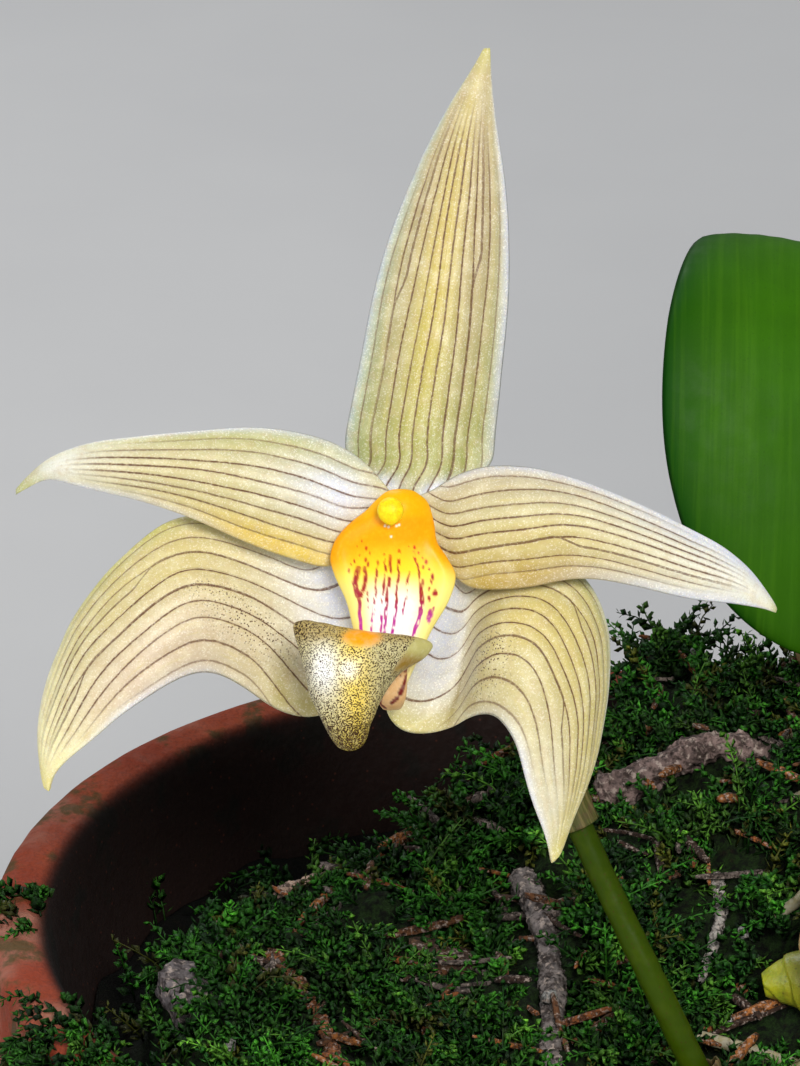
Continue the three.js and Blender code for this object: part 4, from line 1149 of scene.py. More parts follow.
def make_leaf(leaf):
    top = BULBS[leaf["bulb"]]["top"]
    curve = [(top[0], top[1], top[2] + CLEARANCE), *leaf["route"]]
    rows, columns = 80, 56
    step = np.linspace(0, 1, rows)
    t = 1 - (1 - step) ** 1.5
    u = np.linspace(0, 1, columns)
    along = blend(leaf["petiole"], 1, t)
    ahead = tangents(curve, along)
    side = np.array(leaf["side"], float)
    left = unit(side - ahead * (ahead @ side)[:, None])
    under = np.cross(ahead, left)
    half = np.maximum(0.7, leaf_half_width(t, leaf["width"]))
    across = 2 * u - 1
    fold = half[:, None] * (0.34 * np.abs(across) - 0.2 * across**2)
    wave = 1.1 * across**2 * (np.sin(9 * t + leaf["bulb"]) * np.sin(math.pi * t))[:, None]
    surface = even(curve, along)[:, None] + left[:, None] * (across * half[:, None])[..., None]
    surface = surface - under[:, None] * (fold + wave)[..., None]
    upward = -under[:, None] * np.ones((1, columns, 1))
    upward = unit(normals_of(surface) * np.sign((normals_of(surface) * upward).sum(-1, keepdims=True)))
    # A sharp groove over the midrib, faint side veins, and a keel under it
    rounding = dome(across, 8)
    midrib = np.exp(-((across * half[:, None] / 0.9) ** 2))
    side_veins = 0.03 * np.cos(across * half[:, None] * 2.1)
    above = LEAF_THICKNESS / 2 * rounding - 0.45 * midrib + side_veins * rounding
    below = LEAF_THICKNESS / 2 * rounding + 0.5 * midrib * smooth(1, 0.7, t)[:, None]
    end = dome(t, 30)[:, None] * np.minimum(1, 8 * t + 0.3)[:, None]
    above, below = above * end, below * end
    above[[0, -1]] = below[[0, -1]] = 0
    above[:, [0, -1]] = below[:, [0, -1]] = 0
    front = surface + upward * above[..., None]
    back = surface - upward * below[..., None]
    points, faces, keep = blade_body(front, back)
    corner, beside, further = front[40, 20], front[40, 21], front[41, 20]
    if np.dot(np.cross(beside - corner, further - corner), upward[40, 20]) < 0:
        faces = [face[::-1] for face in faces]
    front_count = rows * columns
    margin = (np.abs(across) * np.ones((rows, 1))).ravel()[keep]
    place_along = (t[:, None] * np.ones((1, columns))).ravel()[keep]
    deep, light = rgb(50, 100, 3), rgb(78, 130, 14)
    tint = blend(deep, light, (0.35 * np.exp(-((margin / 0.05) ** 2)) - 0.7 * margin**5)[:, None])
    tint = tint * (1.05 - 0.25 * place_along[:, None] ** 3) * (1 - 0.3 * margin[:, None] ** 4)
    tint[front_count:] = tint[front_count:] * 0.6 + 0.4 * rgb(132, 160, 88)
    stalk_end = leaf["petiole"] + 0.55 * (1 - leaf["petiole"])

    def taper(along):
        swollen_foot = 0.6 * (1 - smooth(0, 0.12, along))
        thinning = (PETIOLE_RADIUS - 0.5) * smooth(leaf["petiole"] * 0.7, stalk_end, along)
        return PETIOLE_RADIUS + swollen_foot - thinning

    def ribbed(along, angle, points):
        return 0.06 * np.cos(6 * angle)

    stalk = stem_body(curve, taper, 24, 60, 0, stalk_end, relief=ribbed)
    tints = np.concatenate([tint, np.ones((len(stalk[0]), 1)) * rgb(104, 140, 48)])
    blade_across = (across * half[:, None]).ravel()[keep]
    values = {
        "across": np.concatenate([blade_across, stalk[3] * PETIOLE_RADIUS]),
        "along": LEAF_LENGTH * np.concatenate([place_along, stalk[2]]),
    }
    body = joined([(points, faces), stalk])
    piece(leaf["name"] + "_blade", body, LOOKS["leaf"], [leaf["name"]], tints, values)


# The flower's frame: X right, Y up, Z to the viewer
FLOWER_X = np.array([1.0, 0, 0])
FLOWER_Y = np.array([0, math.sin(FLOWER_ELEVATION), math.cos(FLOWER_ELEVATION)])
FLOWER_Z = np.array([0, -math.cos(FLOWER_ELEVATION), math.sin(FLOWER_ELEVATION)])
FLOWER_AXES = np.array([FLOWER_X, FLOWER_Y, FLOWER_Z])


def from_flower(points):
    return FLOWER_CENTRE + np.asarray(points, float) @ FLOWER_AXES


STALK = [
    on_moss(*polar(-69, 58), 2.5),
    FLOWER_CENTRE + (31, 0, -60),
    FLOWER_CENTRE + (24, 4, -46),
    FLOWER_CENTRE + (13, 10.5, -22),
    FLOWER_CENTRE + (8, 13, -12),
    from_flower((CORE_CENTRE[0] + 0.8, CORE_CENTRE[1] - 1, -11)),
    from_flower((*CORE_CENTRE, -6.5)),
]
NODE_SHARE = 0.71
SHEATHS = table(
    "name from to turn flare",
    ("sheath_lower", 0.02, 0.105, 1, 0.7),
    ("sheath_upper", 0.47, 0.58, 3, 0.8),
    ("floral_bract", 0.68, 0.785, 2, 1.6),
)
SHEATH_SIDES = 72


def stalk_radius(along):
    return SCAPE_RADIUS - 0.4 * along + 0.9 * smooth(NODE_SHARE + 0.04, 0.97, along)


def make_scape():
    def uneven(along, angle, points):
        return 0.08 * rough(points, 2.2)

    def ribbed(along, angle, points):
        return 0.16 * np.cos(6 * angle) * smooth(NODE_SHARE, 0.85, along) + 0.04 * rough(points, 1)

    body = stem_body(STALK, stalk_radius, 28, 240, 0, NODE_SHARE, relief=uneven)
    share = body[2][:, None]
    # The stem darkens towards its top: painted shade
    tint = blend(rgb(52, 72, 2), rgb(28, 44, 2), share)
    piece("scape_stem", body, LOOKS["stalk"], ["scape"], tint)
    body = stem_body(STALK, stalk_radius, 48, 120, NODE_SHARE + 0.004, 1, relief=ribbed)
    share = smooth(NODE_SHARE, 1, body[2])[:, None]
    tint = blend(rgb(128, 138, 50), rgb(206, 200, 118), share)
    piece("ovary_ribbed", body, LOOKS["stalk"], ["ovary"], tint)


def make_sheath(sheath):
    place = Round(STALK).place
    step, angle = round_grid(0, 1, 25, SHEATH_SIDES)
    ring = np.stack([np.cos(angle) * 3, np.sin(angle) * 3, 0 * angle + sheath["turn"]], -1)
    torn = 1 - 0.1 * np.abs(rough(ring, 0.6))
    reach = (0.62 + 0.38 * ((1 + np.cos(angle - sheath["turn"])) / 2) ** 2) * torn
    share = step * reach
    along = blend(sheath["from"], sheath["to"], share)
    middle = stalk_radius(along) + CLEARANCE + 0.33 + sheath["flare"] * share**1.5
    creases = rough(np.stack([angle * 2, share * 6, 0 * share], -1), 1.0)
    middle = middle + 0.1 * np.cos(9 * angle) * step + 0.12 * creases
    thick = 0.3 * np.sqrt(np.clip(1 - step**6, 0.04, 1))
    outer = place(along, angle, middle + thick)
    inner = place(along, angle, middle - thick)
    rings = np.concatenate([outer, inner[::-1]])
    faces = grid_faces(len(rings), SHEATH_SIDES, closed=True)
    last = (len(rings) - 1) * SHEATH_SIDES
    lid = []
    for j in range(SHEATH_SIDES):
        after = (j + 1) % SHEATH_SIDES
        lid.append((last + j, last + after, after, j))
    body = (rings.reshape(-1, 3), [tuple(f) for f in faces] + lid)
    shares = np.concatenate([share, share[::-1]]).ravel()
    angles = np.concatenate([angle, angle[::-1]]).ravel()
    # Dark greens and browns: the sheaths are darkened as painted shade
    tint = blend(rgb(62, 68, 16), rgb(86, 74, 32), shares[:, None])
    values = {"across": angles * 2.2, "along": shares * 10}
    piece(sheath["name"] + "_shell", body, LOOKS["papery"], [sheath["name"]], tint, values)


# Tepals: the frame's nets
def sighted(point):
    x, y, z = point
    nearer = (SIGHT_DISTANCE - z) / SIGHT_DISTANCE
    return (x * nearer, y * nearer, z)


def margin_rows(stations):
    rows = []
    for xa, ya, xb, yb, margin, middle in stations:
        row = [(xa, ya, margin), ((xa + xb) / 2, (ya + yb) / 2, middle), (xb, yb, margin)]
        rows.append([sighted(p) for p in row])
    return rows


def depth_rows(rows):
    return [[sighted(p) for p in row] for row in rows]


DORSAL_SEPAL = margin_rows([
    (-1.5, 3.2, 1.9, 3.2, -1.5, -1.5),
    (-3.4, 6.1, 4.7, 5.8, -2.1, -1.7),
    (-5.8, 8.9, 10.3, 8, -3.2, -1.8),
    (-6.3, 11.3, 10.7, 11.3, -4.6, -2),
    (-5.4, 15.8, 11.2, 15.8, -5.4, -2.3),
    (-3.8, 24.1, 12.1, 24.6, -6.2, -3),
    (-2.3, 31.1, 12.4, 31.4, -6.6, -3.8),
    (0.5, 38.9, 12.1, 39.3, -7, -4.9),
    (3.7, 46, 11.1, 45.8, -7.4, -6.2),
    (7, 51.4, 10.4, 51.5, -7.8, -7.3),
    (8.7, 54, 10.2, 54, -8.1, -7.8),
    (9.6, 55.5, 10.1, 55.6, -8.4, -8.3),
])
LEFT_PETAL = margin_rows([
    (-0.6, 1.8, -0.4, 4.6, 0.6, 0.6),
    (-5.2, -1.2, -2.7, 7.5, 0.7, 1),
    (-7.8, -3.2, -4.7, 9.4, 0.6, 1.9),
    (-11.3, -2.4, -7.9, 11.2, 0.4, 2.6),
    (-15.6, -1, -12.4, 12.4, 0.5, 3.2),
    (-19.4, 0.6, -17.3, 12.8, 0.6, 3.3),
    (-24.3, 2.8, -22.6, 12.4, 0.6, 2.9),
    (-29.4, 4.4, -28.7, 11.8, 0.1, 2),
    (-34.1, 5.5, -34.1, 11.2, -0.9, 0.6),
    (-37.7, 6.5, -37.9, 10.1, -2.2, -1.3),
    (-40, 7, -40.5, 8.6, -3.6, -3.1),
    (-43.4, 5.1, -43.4, 5.5, -6, -6),
])
RIGHT_PETAL = margin_rows([
    (0.9, 4.6, 1.1, 1.9, 0.6, 0.6),
    (3.6, 5.6, 5.7, -3.7, 0.7, 1),
    (4.7, 6.3, 7.9, -5.5, 0.7, 2),
    (7.3, 7.8, 11.3, -5.6, 0.7, 2.8),
    (11.3, 8.5, 15.1, -5.3, 0.8, 3.4),
    (16.4, 8, 19.4, -4.3, 0.9, 3.5),
    (21.2, 6.5, 23.7, -4.6, 0.8, 3.1),
    (26.2, 4.5, 28.3, -5.6, 0.3, 2.2),
    (31.8, 1.8, 33.2, -6.8, -0.8, 0.8),
    (36.2, -0.6, 37.1, -7.1, -2, -0.9),
    (39, -2.8, 39.6, -7.5, -3.1, -2.4),
    (41.2, -5.7, 41.2, -7.8, -4.4, -4),
    (42.5, -7.9, 42.4, -8.2, -5.2, -5.2),
])
LEFT_LATERAL_SEPAL = depth_rows([
    [(-1.6, 0.6, -1.8), (-1.7, -4.4, 0.8), (-1.5, -8.8, 0.9), (-1.2, -12.6, 0.3), (-1.1, -15.8, -0.8)],
    [(-6.6, -0.8, -1.9), (-6.2, -6.2, -1.3), (-5.4, -10.7, -1.6), (-4.6, -14.2, -2.2), (-4, -17.2, -2.8)],
    [(-9.9, -2.3, -2.6), (-9.3, -5.9, -3.2), (-8.8, -10.2, -4), (-8.8, -14.9, -4.4), (-9.3, -20.2, -5)],
    [(-14.7, 0.5, -3.2), (-13.8, -3.8, -3.2), (-13.1, -8.4, -3.2), (-12.9, -13.3, -3.8), (-14, -19.2, -5.6)],
    [(-19.8, 2.5, -3.6), (-18.9, -1.8, -2.4), (-18, -6.1, -1), (-17.4, -10.6, -1.2), (-17.4, -16.8, -4)],
    [(-24.6, 2.8, -4), (-24.2, -0.9, -1.8), (-23.4, -5, 0.6), (-22.4, -9, 1.2), (-21.5, -14.8, -0.8)],
    [(-28.8, 0.5, -4), (-28.5, -3.2, -1.2), (-27.6, -6.8, 1.2), (-26.2, -10.6, 2.2), (-25.1, -15.7, 1.2)],
    [(-33.2, -3.8, -4), (-32.8, -6.8, -1), (-31.9, -10.2, 1.4), (-30.4, -13.8, 2.6), (-28.7, -17.9, 2.4)],
    [(-36.7, -8.4, -4), (-36.2, -11.1, -1.2), (-35.3, -14.1, 0.9), (-33.8, -17.4, 2), (-31.9, -20.1, 2.2)],
    [(-39.3, -14.2, -3.8), (-38.6, -16.6, -1.6), (-37.7, -19, 0), (-36.4, -21.4, 0.9), (-34.7, -22.6, 1.2)],
    [(-40.9, -20, -3.4), (-40.2, -21.6, -2), (-39.4, -23.1, -1.1), (-38.4, -24.3, -0.6), (-37.3, -24.6, -0.3)],
    [(-40.6, -24.5, -3), (-40.3, -25.2, -2.4), (-39.9, -25.8, -2), (-39.5, -26.3, -1.8), (-39.1, -26.6, -1.7)],
    [(-40, -28.2, -2.9), (-39.9, -28.3, -2.8), (-39.8, -28.3, -2.8), (-39.7, -28.4, -2.7), (-39.6, -28.4, -2.7)],
])
RIGHT_LATERAL_SEPAL = depth_rows([
    [(1.8, 0.8, -1.9), (1.5, -4.4, 0.7), (0.9, -8.8, 0.9), (0.1, -12.8, 0.2), (-1.1, -16.6, -1.8)],
    [(5.6, -0.6, -2), (5.3, -6.6, -1.4), (4.1, -11.2, -1.8), (1.2, -15.2, -2.6), (-1.7, -19.2, -3.4)],
    [(7.5, -3.6, -2.6), (6.8, -7.5, -3.6), (5.7, -12.2, -5), (3.9, -17.4, -5.6), (0.5, -21.9, -5)],
    [(9.5, -2.5, -3), (8, -7, -4.2), (7.6, -12, -5.4), (7.1, -17, -5.4), (5.7, -21.4, -3.6)],
    [(12.2, -1.9, -2.8), (10.4, -5.7, -3), (9.4, -9.9, -2.2), (8.8, -14.5, -1), (8.1, -19.9, -0.6)],
    [(15.8, -2, -2.8), (14, -5.1, -2), (12.3, -8.8, 0.6), (11.2, -13, 2), (10.6, -19.7, 1.6)],
    [(19.7, -2.9, -3.6), (18.1, -6, -1.8), (16.2, -9.7, 1), (14.4, -13.9, 2.8), (12.3, -21.6, 2.8)],
    [(22.8, -7.1, -4.4), (21.1, -9.9, -1.2), (18.9, -13.6, 1), (16.5, -17.9, 2.4), (13.3, -23.6, 3)],
    [(23.8, -13, -4.6), (22.1, -15.5, -1.4), (20, -18.4, 0.6), (17.3, -22, 1.9), (14.1, -26.8, 2.5)],
    [(23.2, -19.8, -4), (21.7, -21.7, -1.5), (20, -23.6, 0.2), (17.6, -26.2, 1.3), (15.1, -30.1, 1.8)],
    [(21.6, -26.3, -3), (20.6, -27.7, -1.5), (19.3, -28.9, -0.3), (17.9, -30.4, 0.5), (16.2, -32.9, 0.8)],
    [(19.3, -31.6, -1.8), (18.9, -32.4, -1.1), (18.3, -33.1, -0.6), (17.6, -33.8, -0.4), (16.8, -35, -0.2)],
    [(17.5, -36.3, -0.6), (17.4, -36.4, -0.6), (17.3, -36.4, -0.6), (17.2, -36.5, -0.6), (17.1, -36.5, -0.6)],
])
COLUMN_FOOT = margin_rows([
    (-1.1, 5.2, 1.4, 5.2, 3.6, 3.6),
    (-2.1, 4.7, 2.3, 4.7, 3.4, 4.6),
    (-2.9, 4.1, 3.1, 4.1, 3.2, 5),
    (-3.9, 3.1, 3.5, 3.1, 3, 5.2),
    (-6, 1.5, 3.9, 1.5, 2.8, 4.8),
    (-7.4, -0.2, 4.2, -0.2, 2.8, 4.2),
    (-7.9, -2.1, 5.4, -2.1, 3, 3.8),
    (-7.4, -4, 6.3, -4, 3.1, 3.6),
    (-6.1, -6.9, 5.5, -6.9, 3.1, 3.4),
    (-5.3, -10, 3.7, -10, 2.9, 3.1),
    (-4.3, -13.6, 2, -13.6, 2.2, 2.3),
    (-2.7, -16.4, 0.7, -16.4, 1, 1),
    (-1.8, -17.6, 0.1, -17.6, 0.4, 0.4),
])
LIP_NET = depth_rows([
    [(-1.9, -18.9, -0.8), (-1.4, -18.9, -0.7), (-0.9, -18.9, -0.7), (-0.4, -18.9, -0.7), (0.1, -18.9, -0.8)],
    [(-2.9, -17.2, 2.6), (-2, -17.3, 2.9), (-1.1, -17.3, 3), (-0.2, -17.2, 2.9), (0.7, -17, 2.6)],
    [(-5.4, -13.6, 5.2), (-3.8, -13.7, 5.5), (-2.3, -13.8, 5.6), (-0.7, -13.7, 5.5), (0.9, -13.4, 5.2)],
    [(-8.8, -10.9, 6.6), (-6.4, -11.4, 7.2), (-3.8, -11.7, 7.4), (-1.4, -11.9, 7.2), (1.4, -12, 6.6)],
    [(-12, -9.5, 7.6), (-8.6, -10.2, 9.4), (-4.5, -11, 10.2), (-0.6, -11.4, 9.6), (3.7, -11.9, 6.6)],
    [(-11.5, -11.9, 8), (-8.9, -12.4, 10.6), (-5.2, -13.2, 12), (-1.5, -13, 10.6), (2.9, -13.1, 6.3)],
    [(-10.8, -14.1, 8.2), (-8.6, -14.9, 10.8), (-5.7, -15.8, 12.2), (-2.8, -15.5, 10.7), (0.2, -14.6, 7)],
    [(-10.1, -17.2, 8.4), (-8.1, -18.1, 10.4), (-5.8, -18.8, 11.4), (-3.7, -18.4, 10.2), (-2.3, -17.7, 8)],
    [(-8.8, -19.8, 8.4), (-7.4, -20.5, 9.8), (-5.7, -21, 10.3), (-4.3, -20.6, 9.4), (-3.3, -19.9, 8)],
    [(-7.6, -22, 8.3), (-6.7, -22.5, 9), (-5.7, -22.8, 9.2), (-4.8, -22.6, 8.8), (-4.2, -22.1, 8.1)],
    [(-6.4, -23.3, 8.3), (-6.1, -23.4, 8.4), (-5.8, -23.4, 8.4), (-5.5, -23.4, 8.4), (-5.2, -23.3, 8.3)],
])


def washed(t, u, ground, washes):
    """Colours over a blade: a ground colour under soft patches.

    A patch is its place along and across, its size along and across, its colour and its strength.
    """
    colours = np.ones(np.broadcast(t, u).shape + (3,)) * ground
    for at_t, at_u, long, wide, colour, strength in washes:
        share = strength * np.exp(-(((t - at_t) / long) ** 2) - ((u - at_u) / wide) ** 2)
        colours = blend(colours, colour, share[..., None])
    return colours


def vein_lines(count, first, last, t, span_mm, forks, fan, draw):
    """Where each vein runs across the blade, from margin to margin, at each place along it.

    forks are pairs of a vein's number and the place along where a branch leaves it. fan is the
    place across that the veins spread away from towards the base, how far they spread, and how
    well they keep their distance there (1 for wholly).
    """
    gaps = draw.uniform(0.9, 1.1, (count - 1, 1)) + 0 * t
    for vein, where in forks:
        gaps[vein] = gaps[vein] * (1 + 0.8 * smooth(where - 0.08, where + 0.1, t))
    shares = np.concatenate([0 * t[None], np.cumsum(gaps, 0)]) / gaps.sum(0)
    lines = first + (last - first) * shares
    spacing = (last - first) / (count - 1)
    for waves in (2.2, 4.5):
        phase = draw.uniform(0, TURN, (count, 1))
        lines = lines + spacing * 0.1 / waves * np.sin(waves * TURN * t + phase)
    # Towards a narrow base the veins keep their distance, and the outer ones leave the blade
    pivot, spread, apart = fan
    crowding = (span_mm.max() / span_mm) ** (apart * (1 - smooth(0.11, 0.3, t)))
    lines = 0.5 + (lines - 0.5) * crowding
    return pivot + (lines - pivot) * (1 + spread * (1 - smooth(0.03, 0.34, t)))


def branch_distance(lines, forks, t, u, span_mm):
    """Distance in mm from the nearest branch of a vein, and far where there is none."""
    nearest = np.full((len(t), len(u)), 9.0)
    for vein, where in forks:
        room = lines[vein + 1] - lines[vein]
        course = lines[vein] + room * 0.5 * smooth(where, where + 0.06, t)
        away = (u - course[:, None]) * span_mm[:, None]
        nearest = np.where(np.abs(away) < np.abs(nearest), away, nearest)
    return np.clip(nearest, -3, 3)


def eased(surface, passes=40):
    """Evens out small kinks along a blade, keeping its two ends."""
    for _ in range(passes):
        surface[1:-1] = (surface[:-2] + 2 * surface[1:-1] + surface[2:]) / 4
    return surface


def veins_passed(lines, u):
    """How many veins lie before each place across the blade, with a fraction between two veins."""
    numbers = np.arange(len(lines))
    passed = np.array([np.interp(u, across, numbers) for across in lines.T])
    first_gap = (lines[1] - lines[0])[:, None]
    last_gap = (lines[-1] - lines[-2])[:, None]
    passed = passed - np.clip((lines[0][:, None] - u) / first_gap, 0, 0.45)
    return passed + np.clip((u - lines[-1][:, None]) / last_gap, 0, 0.45)


def vein_ink(passed, gap, place_t, veins, short, seed):
    """How dark the veins are. They fade at both ends, the outer ones sooner, and where they crowd."""
    outward = np.abs(2 * np.clip(passed / (veins - 1), 0, 1) - 1)
    fading = 0.86 - 0.2 * outward**2
    ink = smooth(0.0, 0.05, place_t) * (1 - smooth(fading - 0.14, fading + 0.06, place_t))
    ink = ink * smooth(0.3, 0.85, gap)
    faint = rough(np.stack([np.round(passed) * 3.7, 3 * place_t, seed + 0 * passed], -1), 1.0)
    ink = ink * np.clip(1.0 + 0.7 * faint, 0.4, 1) * (1 - 0.35 * outward**3)
    return ink * np.where(np.isin(np.round(passed), short), smooth(0.2, 0.3, place_t), 1)


def make_tepal(
    node, rows, veins, span, forks, ground, washes, seed,
    specks=(), fan=(0.5, 0, 0.55), short=(), steps=(140, 60),
):
    """One sepal or petal. short holds the numbers of the veins that start further up the blade."""
    draw = np.random.default_rng(seed)
    t, u = np.linspace(0, 1, steps[0]), np.linspace(0, 1, steps[1])
    place_t, place_u = t[:, None] + 0 * u, u + 0 * t[:, None]
    surface = eased(net(rows, t, u))
    facing = normals_of(surface)
    towards = math.copysign(1, facing[..., 2].mean())
    facing = facing * towards
    span_mm = np.linalg.norm(np.diff(surface, axis=1), axis=-1).sum(1)
    lines = vein_lines(veins, *span, t, span_mm, forks, fan, draw)
    passed = veins_passed(lines, u)
    between = np.clip(np.floor(passed).astype(int), 0, veins - 2)
    row = np.arange(len(t))[:, None]
    gap = (lines[between + 1, row] - lines[between, row]) * span_mm[:, None]
    # Low pleats between the veins, a little ruffle at the margins, and thin rounded edges
    across = 2 * u - 1
    edge = dome(across, 8) * dome(2 * t[:, None] - 1, 60)
    pleat = 0.06 * np.cos(TURN * (passed + 0.5)) * smooth(0, 0.1, place_t) * smooth(0.4, 1.2, gap) * edge
    lump = 0.08 * rough(surface, 3.5, seed) + 0.1 * rough(surface, 5.5, seed + 9) * across**4
    surface = surface + facing * (pleat + lump)[..., None]
    half = TEPAL_THICKNESS / 2 * edge[..., None]
    front, back = surface + facing * half, surface - facing * half
    points, faces, keep = blade_body(from_flower(front), from_flower(back))
    if towards < 0:
        faces = [face[::-1] for face in faces]
    tint = TEPAL_DEPTH * washed(place_t, place_u, ground, washes).reshape(-1, 3)[keep]
    tint[len(t) * len(u):] *= BACK_SHADE
    # The frosty washes, which carry painted highlight, also brighten the painted sparkle of the crystal cells
    frost_and_highlight_washes = [(*wash[:4], np.ones(3), wash[5]) for wash in washes if wash[4] is FROST_AND_HIGHLIGHT]
    values = {
        "vein": passed,
        "vein_gap": gap,
        "vein_ink": vein_ink(passed, gap, place_t, veins, short, seed),
        "branch": branch_distance(lines, forks, t, u, span_mm),
        "along": place_t * TEPAL_LENGTH,
        "speck": washed(place_t, place_u, np.zeros(3), specks)[..., 0],
        "frost_and_highlight": washed(place_t, place_u, np.zeros(3), frost_and_highlight_washes)[..., 0],
    }
    values = {key: grid.ravel()[keep] for key, grid in values.items()}
    piece(node + "_veined", (points, faces), LOOKS["tepal"], [node], tint, values)


# How deep all of a tepal's colours are, how much darker its back is, and its length for streaks
TEPAL_DEPTH = 0.8
BACK_SHADE = 0.94
TEPAL_LENGTH = 45
CREAM = rgb(226, 214, 164)
YELLOW = rgb(228, 202, 82)
GREEN = rgb(184, 190, 98)
# A frosty bluish white for margins and bases: partly the blade's pale crystal surface, partly painted highlight
FROST_AND_HIGHLIGHT = rgb(236, 240, 255)
ROSE = rgb(232, 208, 182)
WHITE = rgb(248, 246, 232)
# A painted highlight, brighter than white, near the petals' tips
HIGHLIGHT_WHITE = 1.18 * rgb(252, 254, 250)
MAUVE = rgb(202, 180, 142)
# A patch so wide that it reaches all across the blade
ALL_ACROSS = 9


